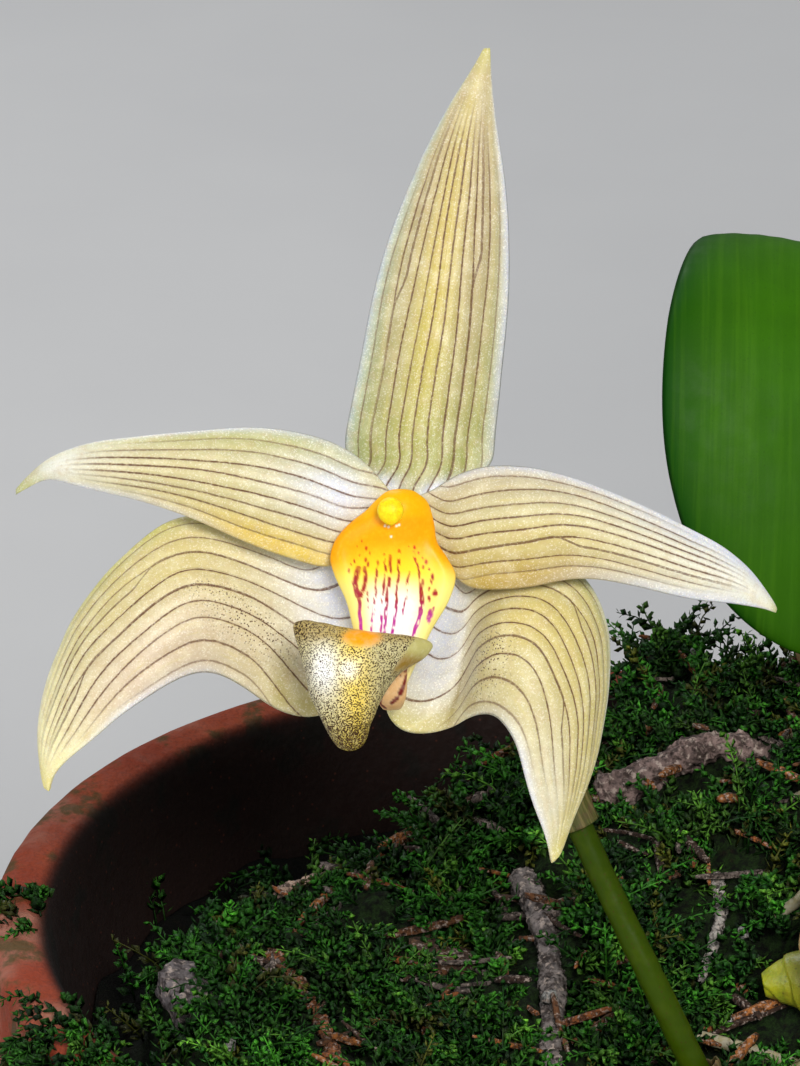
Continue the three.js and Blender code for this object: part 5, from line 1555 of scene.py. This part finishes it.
def make_tepals():
    make_tepal(
        "sepal_dorsal", DORSAL_SEPAL, 10, (0.09, 0.91), [(1, 0.47), (7, 0.5)], rgb(216, 202, 150),
        [
            (0.5, 0.2, 0.5, 0.17, MAUVE, 0.7),
            (0.55, 0.75, 0.4, 0.17, MAUVE, 0.7),
            (0.42, 0.47, 0.36, 0.15, YELLOW, 0.85),
            (0.18, 0.5, 0.24, ALL_ACROSS, rgb(168, 174, 84), 0.85),
            (0.3, 0.0, 0.35, 0.16, rgb(164, 174, 84), 0.85),
            (0.3, 1.0, 0.35, 0.14, rgb(172, 178, 88), 0.8),
            # A bluish-white band down the left margin: painted highlight
            (0.55, 0.0, 0.4, 0.1, rgb(196, 212, 204), 0.9),
            (0.6, 0.0, 0.4, 0.035, FROST_AND_HIGHLIGHT, 0.7),
            (0.6, 1.0, 0.5, 0.07, FROST_AND_HIGHLIGHT, 0.95),
            (0.09, 0.2, 0.05, 0.25, FROST_AND_HIGHLIGHT, 1.0),
            (0.09, 0.85, 0.05, 0.2, FROST_AND_HIGHLIGHT, 1.0),
            (1.0, 0.6, 0.1, ALL_ACROSS, rgb(222, 216, 130), 0.8),
        ],
        21,
        fan=(0.5, 0, 1),
    )
    make_tepal(
        "petal_left", LEFT_PETAL, 8, (0.13, 0.87), [], rgb(222, 212, 160),
        [
            (0.34, 0.06, 0.22, 0.18, rgb(252, 214, 36), 0.95),
            (0.2, 0.64, 0.15, 0.3, FROST_AND_HIGHLIGHT, 0.95),
            (0.42, 1.0, 0.35, 0.2, GREEN, 0.75),
            (0.62, 0.5, 0.2, 0.3, rgb(228, 212, 152), 0.5),
            (0.86, 0.6, 0.16, 0.6, HIGHLIGHT_WHITE, 0.7),
            (0.8, 0.0, 0.3, 0.12, FROST_AND_HIGHLIGHT, 0.8),
            (0.55, 1.0, 0.4, 0.06, FROST_AND_HIGHLIGHT, 0.85),
            (1.0, 0.5, 0.08, ALL_ACROSS, GREEN, 0.8),
        ],
        22,
    )
    make_tepal(
        "petal_right", RIGHT_PETAL, 8, (0.1, 0.86), [(5, 0.4)], rgb(224, 214, 162),
        [
            (0.3, 0.93, 0.26, 0.28, rgb(202, 164, 24), 0.95),
            (0.4, 0.6, 0.25, 0.2, rgb(218, 196, 104), 0.6),
            (0.3, 0.1, 0.3, 0.22, MAUVE, 0.6),
            (0.82, 0.45, 0.24, 0.6, HIGHLIGHT_WHITE, 0.8),
            (0.82, 0.1, 0.26, 0.2, FROST_AND_HIGHLIGHT, 0.95),
            (0.55, 0.0, 0.45, 0.08, FROST_AND_HIGHLIGHT, 0.85),
            (0.74, 1.0, 0.28, 0.16, FROST_AND_HIGHLIGHT, 0.95),
            (1.0, 0.5, 0.05, ALL_ACROSS, GREEN, 0.7),
        ],
        23,
        fan=(0.5, 0, 0.9),
    )
    make_tepal(
        "sepal_lateral_left", LEFT_LATERAL_SEPAL, 9, (0.07, 0.94), [(2, 0.48), (4, 0.66)], CREAM,
        [
            (0.5, 0.0, 0.5, 0.1, rgb(206, 204, 112), 0.9),
            (0.42, 0.3, 0.3, 0.3, YELLOW, 0.45),
            (0.6, 0.85, 0.35, 0.35, ROSE, 0.85),
            (0.08, 0.25, 0.17, 0.5, FROST_AND_HIGHLIGHT, 1.0),
            (0.16, 0.95, 0.14, 0.14, rgb(206, 190, 96), 0.8),
            (0.7, 1.0, 0.3, 0.05, FROST_AND_HIGHLIGHT, 0.8),
            # Painted light on the tip, which faces away from the lamps
            (0.86, 0.5, 0.14, ALL_ACROSS, 1.15 * rgb(255, 246, 190), 0.85),
            (0.25, 0.88, 0.02, 0.2, rgb(196, 178, 92), 0.5),
            (0.95, 0.0, 0.2, 0.08, FROST_AND_HIGHLIGHT, 0.6),
            (1.0, 0.5, 0.08, ALL_ACROSS, rgb(246, 232, 120), 0.85),
        ],
        24,
        specks=[(0.32, 0.68, 0.08, 0.13, np.ones(3), 1.5), (0.38, 0.52, 0.06, 0.06, np.ones(3), 1.1)],
        fan=(0.35, 0.7, 0.55),
        steps=(160, 72),
    )
    make_tepal(
        "sepal_lateral_right", RIGHT_LATERAL_SEPAL, 10, (0.06, 0.94), [(2, 0.52), (6, 0.62)],
        rgb(222, 208, 150),
        [
            (0.5, 0.0, 0.5, 0.12, rgb(200, 198, 110), 0.85),
            (0.5, 0.45, 0.25, 0.25, YELLOW, 0.5),
            (0.11, 0.45, 0.15, 0.5, FROST_AND_HIGHLIGHT, 1.0),
            (0.25, 0.85, 0.012, 0.28, rgb(168, 146, 84), 0.7),
            (0.12, 1.0, 0.14, 0.13, rgb(214, 200, 92), 0.85),
            (0.78, 0.85, 0.16, 0.2, WHITE, 0.5),
            (0.8, 0.35, 0.16, 0.25, rgb(212, 200, 128), 0.6),
            (0.7, 1.0, 0.3, 0.05, FROST_AND_HIGHLIGHT, 0.8),
            (0.7, 0.0, 0.25, 0.05, FROST_AND_HIGHLIGHT, 0.6),
            (1.0, 0.5, 0.09, ALL_ACROSS, rgb(226, 216, 124), 0.85),
        ],
        25,
        specks=[(0.38, 0.74, 0.065, 0.17, np.ones(3), 1.6)],
        fan=(0.12, 0.55, 0.55),
        short=(5, 7, 8),
        steps=(160, 72),
    )


def seen(surface):
    """Where points stand on the plane of the flower's centre, as seen from the front."""
    return surface[..., :2] * (SIGHT_DISTANCE / (SIGHT_DISTANCE - surface[..., 2:]))


def off_course(places, course):
    """Distance in mm of places from a line through points, and the share of its length reached."""
    course = np.array(course, float)
    nearest = np.full(places.shape[:-1], 99.0)
    reached = np.zeros(places.shape[:-1])
    for k, (a, b) in enumerate(zip(course, course[1:])):
        along = np.clip((places - a) @ (b - a) / ((b - a) @ (b - a)), 0, 1)
        away = np.linalg.norm(places - a - along[..., None] * (b - a), axis=-1)
        reached = np.where(away < nearest, (k + along) / (len(course) - 1), reached)
        nearest = np.minimum(away, nearest)
    return nearest, reached


# Broken red streaks down the column's foot: half width, raggedness, course on the flower's plane
STREAKS = [
    (0.3, 0.5, [(-4.7, -3.2), (-5.1, -4.8), (-4.7, -6.4)]),
    (0.2, 0.4, [(-4.7, -6.2), (-4.5, -8.4), (-4.4, -10.9)]),
    (0.2, 0.5, [(-4.0, -3.1), (-3.9, -4.9), (-4.4, -6.3)]),
    (0.13, 0.85, [(-2.5, -2.4), (-2.7, -5.3), (-3.0, -7.6), (-3.3, -10.6)]),
    (0.1, 1.1, [(-3.7, -5.8), (-3.6, -7.8)]),
    (0.13, 0.95, [(-1.8, -1.6), (-1.6, -3.6), (-2.0, -6.7), (-2.2, -10.7)]),
    (0.18, 0.7, [(-1.1, -1.8), (-1.1, -3.4), (-1.5, -6.7), (-1.8, -10.8)]),
    (0.16, 0.8, [(-0.1, -1.2), (-0.2, -4.2), (-0.5, -8.0), (-0.9, -10.9)]),
    (0.12, 0.9, [(1.0, -3.6), (0.7, -6.2), (0.3, -8.4)]),
    (0.12, 0.7, [(1.5, -1.3), (2.0, -2.9), (2.3, -4.8)]),
    (0.27, 0.6, [(2.4, -4.6), (2.5, -6.8), (2.3, -8.2)]),
    (0.2, 0.6, [(2.4, -8.0), (1.8, -9.9), (1.4, -11.2)]),
]
SPOTS = [
    (-4.3, -0.1), (-4.9, -0.7), (-3.8, -0.9), (-3.4, -1.4), (-4.6, -1.6), (-4.0, -2.2), (-5.1, -2.4),
    (-5.6, -2.7), (-3.6, -2.7), (-5.8, -3.4), (1.0, -0.7), (1.6, -0.8), (2.1, -1.5), (2.6, -2.0), (3.0, -2.5),
    (2.7, -3.1), (3.3, -3.3), (3.8, -4.1), (3.5, -4.7), (3.3, -5.5), (3.9, -6.0), (3.3, -6.6), (3.8, -7.7),
    (3.5, -8.3), (3.2, -9.0),
]
GLINTS = [(-1.7, 1.6), (-1.3, 1.5), (-0.4, 1.6), (-1.0, 0.4), (-0.1, 1.7)]


def streaked(places, seed):
    """How strongly the streaks colour each place."""
    ink = np.zeros(places.shape[:-1])
    flat = np.concatenate([places, 0 * places[..., :1]], -1)
    wobble = np.stack([rough(flat, 1.1, seed), rough(flat, 1.1, seed + 5)], -1)
    ragged = rough(flat * (1.5, 0.6, 1), 0.42, seed + 9)
    for half, breaks, course in STREAKS:
        away, reached = off_course(places + 0.14 * wobble, course)
        line = 1 - smooth(0.8 * half, 1.35 * half, away)
        gaps = smooth(0, 0.5, 1.25 - breaks * (1 + 2.4 * ragged))
        ink = np.maximum(ink, line * gaps * (0.75 + 0.25 * smooth(0, 0.2, reached)))
    for number, spot in enumerate(SPOTS):
        away = np.linalg.norm((places + 0.25 * wobble - spot) * (1, 0.55), axis=-1)
        size = (0.08 - 0.016 * spot[1]) * (1, 0.6, 1.35)[number % 3]
        ink = np.maximum(ink, 1 - smooth(0.6 * size, 1.5 * size, away))
    return ink


def column_colours(places, across):
    """Orange above, then yellow and white, with crimson streaks down the foot and small glints."""
    x, y = places[..., 0], places[..., 1]
    sag = y + 0.05 * (x + 0.8) ** 2
    tint = painted(rgb(253, 166, 0), rgb(255, 218, 40), smooth(0.6, -3.6, sag))
    tint = painted(tint, rgb(253, 184, 0), smooth(2, 3.2, y) * 0.7)
    tint = painted(tint, rgb(252, 246, 244), smooth(-3.2, -7.4, y) * np.exp(-(((x + 0.9) / 3.7) ** 4)))
    tint = painted(tint, rgb(255, 238, 140), 0.85 * smooth(0.45, 0.8, np.abs(across)) * smooth(-2, -6.5, y))
    crimson = painted(rgb(158, 4, 26), rgb(184, 40, 150), smooth(-6.4, -9.4, y))
    crimson = painted(rgb(198, 54, 4), crimson, smooth(-1.2, -3.6, y))
    tint = painted(tint, crimson, streaked(places, 3))
    for glint in GLINTS:
        away = np.linalg.norm(places - glint, axis=-1)
        tint = painted(tint, rgb(255, 246, 214), 1 - smooth(0.08, 0.2, away))
    return tint


def column_core():
    """The column's body behind its shield, a little thinner towards the anther."""
    angle = circle(36)
    rings = []
    for z in np.linspace(-6.1, 3.9, 16):
        radius = CORE_RADIUS + 0.5 * (3.9 - z) / 10
        ring = np.stack([radius * np.cos(angle), radius * np.sin(angle), 0 * angle + z], -1)
        rings.append(ring + (*CORE_CENTRE, 0))
    return tube_body(from_flower(np.array(rings)))


def make_column():
    t, u = np.linspace(0, 1, 150), np.linspace(0, 1, 130)
    surface = net(COLUMN_FOOT, t, u)
    facing = normals_of(surface)
    facing = facing * math.copysign(1, facing[..., 2].mean())
    across = 2 * u - 1
    edge = dome(across, 5) * dome(2 * t[:, None] - 1, 24)
    rim = np.exp(-(((np.abs(across) - 0.84) / 0.12) ** 2)) * smooth(0.3, 0.5, t)[:, None]
    channel = np.exp(-((across / 0.45) ** 2)) * smooth(0.35, 0.6, t)[:, None]
    half = COLUMN_THICKNESS / 2 * edge
    front = surface + facing * (half + 0.3 * rim * edge - 0.35 * channel * edge)[..., None]
    back = surface - facing * half[..., None]
    points, faces, keep = blade_body(from_flower(front), from_flower(back))
    shield_tint = column_colours(seen(front), across).reshape(-1, 3)[keep]
    core = column_core()
    tint = np.concatenate([shield_tint, np.ones((len(core[0]), 1)) * rgb(240, 196, 70)])
    piece("column_shield", joined([(points, faces), core]), LOOKS["column"], ["column"], tint)


def make_anther():
    polar_angle = np.linspace(0.04, math.pi - 0.04, 30)[:, None]
    angle = circle(44)
    across, up = np.sin(polar_angle) * np.cos(angle), np.sin(polar_angle) * np.sin(angle)
    out = np.cos(polar_angle) + 0 * angle
    cleft = 1 - 0.1 * np.exp(-((across / 0.2) ** 2)) * smooth(0.1, -0.8, up) * smooth(-0.2, 0.6, out)
    beak = 1 + 0.12 * np.exp(-(((up + 1) / 0.5) ** 2) - (across / 0.4) ** 2)
    shape = np.stack([across * 1.5, up * 1.5 * beak, out * 1.15], -1) * cleft[..., None]
    body = tube_body(from_flower(shape[::-1] + (-1.05, 3.3, 7.3)))
    piece("anther", body, LOOKS["anther"], ["anther_cap"])


CLAW_STROKES = [
    (0.24, [(0.3, -14.7), (-0.1, -15.7), (-0.4, -16.3)]),
    (0.2, [(-0.6, -16.7), (-1.0, -17.1)]),
    (0.13, [(-1.9, -16.4), (-1.9, -17.2), (-1.5, -17.6)]),
    (0.1, [(0.8, -14.2), (0.3, -14.1), (-0.4, -14.5)]),
]


def lip_colours(places, t, across):
    """The lip's colours, and how thickly dots cover each place."""
    x, y = places[..., 0], places[..., 1]
    tint = np.ones(x.shape + (3,)) * rgb(212, 200, 144)
    ridge = np.exp(-(((x + 5.6 + 0.1 * (y + 11)) / 1.9) ** 2))
    tint = painted(tint, rgb(240, 208, 78), 0.85 * ridge)
    tint = painted(tint, rgb(150, 132, 48), 0.9 * smooth(-18.5, -23.5, y))
    # A painted highlight on the left flank, where dots thin out
    shine = np.exp(-(((x + 8.6) / 1.7) ** 2) - ((y + 14.6) / 2.9) ** 2)
    shine = np.maximum(shine, 0.8 * np.exp(-(((x + 5.9) / 1.2) ** 2) - ((y + 14.6) / 1.2) ** 2))
    tint = painted(tint, 1.12 * rgb(246, 246, 244), 0.9 * shine)
    tint = tint * (1 - 0.16 * smooth(-4.6, -2.2, x))[..., None]
    brow = 0.7 * smooth(-12.2, -10.6, y) * smooth(0.2, 0.36, t)[:, None]
    tint = painted(tint, rgb(160, 132, 60), brow)
    orange = 1 - smooth(0.6, 1.8, np.hypot((x + 4.3) / 1.6, (y + 11.0) / 0.8))
    tint = painted(tint, rgb(255, 160, 0), orange)
    # Beyond the fold at the right its underside shows
    under = smooth(-0.1, 0.15, (x - 1.0) * 0.83 + (y + 12.0) * -0.56) * smooth(0.2, 0.3, t)[:, None]
    under = under * smooth(-15.6, -14.2, y)
    beneath = painted(rgb(150, 118, 40), rgb(190, 182, 112), smooth(-13.6, -11.9, y + 0.25 * x))
    tint = painted(tint, beneath, under)
    # The claw is rosy, with a few dark red strokes and no dots
    claw = (1 - smooth(0.2, 0.3, t))[:, None] + 0 * x
    tint = painted(tint, rgb(226, 180, 122), claw)
    strokes = np.zeros_like(x)
    for half_width, course in CLAW_STROKES:
        away, _ = off_course(places, course)
        strokes = np.maximum(strokes, 1 - smooth(0.5 * half_width, 1.2 * half_width, away))
    tint = painted(tint, rgb(116, 20, 12), claw * strokes)
    margin = smooth(0.3, 1, np.abs(across))
    dots = 0.5 + 0.3 * margin + 0.4 * smooth(-17, -23, y) - 0.24 * shine
    return tint, np.clip((dots - orange - 0.72 * under) * (1 - claw), 0, 1)


def make_lip():
    t, u = np.linspace(0, 1, 130), np.linspace(0, 1, 72)
    surface = net(LIP_NET, t, u)
    facing = normals_of(surface)
    # The blade's middle, past the fold, faces the viewer
    facing = facing * math.copysign(1, facing[80:, 26:44, 2].mean())
    across = 2 * u - 1
    edge = dome(across, 6) * dome(2 * t[:, None] - 1, 30)
    lump = 0.1 * rough(surface, 1.6) * edge
    half = LIP_THICKNESS / 2 * edge
    front = surface + facing * (half + lump)[..., None]
    back = surface - facing * half[..., None]
    points, faces, keep = blade_body(from_flower(front), from_flower(back))
    tint, dots = lip_colours(seen(front), t, across)
    tint, dots = tint.reshape(-1, 3)[keep], dots.ravel()[keep]
    piece("lip_dotted", (points, faces), LOOKS["lip"], ["lip"], tint, {"dots": dots})


# Sticks, twigs, bark chips and loose crumbs on the moss
def plates(points, size):
    """Flat plates of random height between -1 and 1 with ragged borders, about size mm across."""
    shifted = np.reshape(points, (-1, 3)) / size
    shifted = shifted + 0.45 * np.stack([rough(shifted, 0.8, k) for k in (1.0, 2.0, 3.0)], -1)
    return np.array([noise.cell(p) * 2 - 1 for p in shifted]).reshape(np.shape(points)[:-1])


def make_stick(stick):
    (xa, ya), (xb, yb) = stick["ends"]
    dx, dy = xb - xa, yb - ya
    radius = stick["radius"]
    stations = []
    for share in (0, 0.3, 0.65, 1):
        sway = stick["bend"] * math.sin(math.pi * share * 1.3) / math.hypot(dx, dy)
        stations.append(on_moss(xa + dx * share - dy * sway, ya + dy * share + dx * sway, 0.35 * radius))

    def gnarled(along):
        ends = 1 - 0.35 * smooth(0.94, 1, along) - 0.3 * (1 - smooth(0, 0.05, along))
        return radius * (1 - 0.25 * along + 0.08 * np.sin(25 * along)) * ends

    def barky(along, angle, points):
        cracked = plates(points, 0.55 * radius) + 0.5 * plates(points, 0.3 * radius)
        fine = 0.05 * rough(points, 0.25 * radius)
        return radius * (0.07 * cracked + fine + 0.12 * rough(points, 2.4 * radius, 8))

    sides = 44 if radius >= 2 else 28
    body = stem_body(stations, gnarled, sides, round(4.5 * math.hypot(dx, dy)), relief=barky)
    tone = 0.8 + 0.5 * rough(body[0], 2.5)[:, None]
    name, slot = stick["name"], stick["slot"]
    piece(name + "_bark", body, LOOKS[stick["look"]], [name], stick["colour"] * tone)


# A chip's outline, and the lower half of its edge: shares of the outline and of the thickness
CHIP_CORNERS = [(-0.5, -0.2), (-0.3, -0.5), (0.4, -0.42), (0.5, 0.1), (0.25, 0.5), (-0.42, 0.4)]
CHIP_EDGE = [(0.02, -0.48), (0.5, -0.5), (0.93, -0.5), (1, -0.42), (1, -0.14)]


def make_chip(chip):
    long, wide, thick = chip["size"]
    loop = np.array([*CHIP_CORNERS, CHIP_CORNERS[0]]) * (long, wide)
    outline = divided(loop, 0.35)[:-1]
    upper_edge = [(share, -level) for share, level in reversed(CHIP_EDGE)]
    rings = []
    for share, level in CHIP_EDGE + upper_edge:
        rings.append(np.column_stack([outline * share, np.full(len(outline), level * thick)]))
    rings = np.array(rings)
    tilt = Matrix.Rotation(-0.12, 3, "Y") @ Matrix.Rotation(0.16, 3, "X")
    turned = np.array(Matrix.Rotation(chip["turn"], 3, "Z") @ tilt).T
    placed = rings @ turned + on_moss(*chip["at"], 0.7)
    relief = 0.5 * rough(placed * (1, 1, 2), 1.6)[..., None]
    points, faces = tube_body(placed + relief * unit(rings * (0.3, 0.3, 1)) @ turned)
    tone = 0.8 + 0.6 * rough(points, 2)[:, None]
    name = chip["name"]
    piece(name + "_bark", (points, faces), LOOKS["bark"], [name], chip["colour"] * tone)


CRUMBS = 330
CRUMB_REACH = 62
CRUMB_COLOURS = [rgb(150, 88, 46), rgb(112, 72, 44), rgb(74, 52, 40), rgb(126, 112, 104), rgb(168, 104, 52)]
GRIT_COLOUR = rgb(206, 204, 198)


def make_crumbs():
    """Shreds of bark and old wood among the moss, and a few pale grains of grit."""
    draw = np.random.default_rng(17)
    crumbs, tints = [], []
    for k in range(CRUMBS):
        x, y = polar(draw.uniform(0, 360), CRUMB_REACH * math.sqrt(draw.uniform(0, 1)))
        if hollow(x, y) + left_gap(x, y) > 0.15:
            continue
        grit = k % 20 == 0
        long = draw.uniform(1.0, 1.8) if grit else draw.uniform(2, 11)
        thin = draw.uniform(0.8, 1.2) if grit else draw.uniform(0.3, 0.75)
        heading, tip = draw.uniform(0, TURN), draw.uniform(-0.35, 0.5)
        level = math.cos(tip)
        ahead = np.array([level * math.cos(heading), level * math.sin(heading), math.sin(tip)])
        centre = np.array(on_moss(x, y, draw.uniform(0.4, 2.6)))
        curve = [centre - ahead * long / 2, centre + draw.uniform(-0.2, 0.2, 3), centre + ahead * long / 2]

        def worn(along):
            return thin * (0.5 + 0.5 * np.sin(math.pi * along) ** 0.5)

        def chipped(along, angle, points):
            return 0.35 * thin * rough(points, 0.7)

        crumbs.append(stem_body(curve, worn, 5, 8, relief=chipped))
        colour = GRIT_COLOUR if grit else CRUMB_COLOURS[k % len(CRUMB_COLOURS)]
        tints.append(np.ones((len(crumbs[-1][0]), 1)) * colour * draw.uniform(0.5, 1.1))
    piece("bark_crumbs", joined(crumbs), LOOKS["twig"], (), np.concatenate(tints))


# Floor, light and camera
def make_stage():
    floor_look = Look("floor", Specular_IOR_Level=0.2)
    floor_look.colour(floor_look.mix(floor_look.noise(90, 4), rgb(214, 213, 211), rgb(205, 204, 203)))
    floor_look.roughen(floor_look.noise(30, 3), 0.7, 0.85)
    mesh = bpy.data.meshes.new("floor")
    side = 3.0
    corners = [(-side, -side, 0), (side, -side, 0), (side, side, 0), (-side, side, 0)]
    mesh.from_pydata(corners, [], [(0, 1, 2, 3)])
    mesh.materials.append(floor_look.material)
    linked("floor", mesh)


def make_light(name, place, target, size, power, colour):
    lamp = bpy.data.lights.new(name, "AREA")
    lamp.shape = "DISK"
    lamp.size = size
    lamp.energy = power
    lamp.color = colour
    made = linked(name, lamp)
    made.location = place
    made.rotation_euler = (Vector(target) - Vector(place)).to_track_quat("-Z", "Y").to_euler()


def make_lights():
    flower = (-0.017, -0.056, 0.196)
    make_light("key", (0.16, -0.82, 0.78), flower, 0.32, 9.2, (1.0, 0.99, 0.97))
    make_light("fill", (-0.8, -0.5, 0.6), flower, 0.6, 2.7, (0.95, 0.97, 1.0))
    make_light("back", (-0.3, 0.8, 0.9), flower, 0.5, 4.0, (0.93, 0.96, 1.0))
    world = bpy.data.worlds.new("studio")
    bpy.context.scene.world = world
    world.use_nodes = True
    world.node_tree.nodes["Background"].inputs["Color"].default_value = (0.92, 0.95, 1.0, 1)
    world.node_tree.nodes["Background"].inputs["Strength"].default_value = 0.28
    bpy.context.scene.view_settings.view_transform = "Standard"


def make_camera():
    """The photograph's view: along the flower's axis, 560 mm away and a little above it."""
    camera = bpy.data.cameras.new("camera")
    camera.lens = 167.4
    camera.sensor_width = 36
    camera.clip_start = 0.01
    camera.clip_end = 20
    place = (FLOWER_CENTRE + 0.79 * FLOWER_Y + SIGHT_DISTANCE * FLOWER_Z) * MM
    turned = Matrix(FLOWER_AXES.tolist()).transposed().to_4x4()
    made = linked("camera", camera)
    made.matrix_world = Matrix.Translation(place) @ turned
    bpy.context.scene.camera = made


make_pot()
make_bed()
make_moss_shoots()
make_rim_moss()
make_rhizome()
make_bulbs()
make_new_shoot()
for leaf in LEAVES:
    make_leaf(leaf)
make_scape()
for sheath in SHEATHS:
    make_sheath(sheath)
make_tepals()
make_column()
make_anther()
make_lip()
for stick in STICKS:
    make_stick(stick)
for chip in CHIPS:
    make_chip(chip)
make_crumbs()
make_stage()
make_lights()
make_camera()
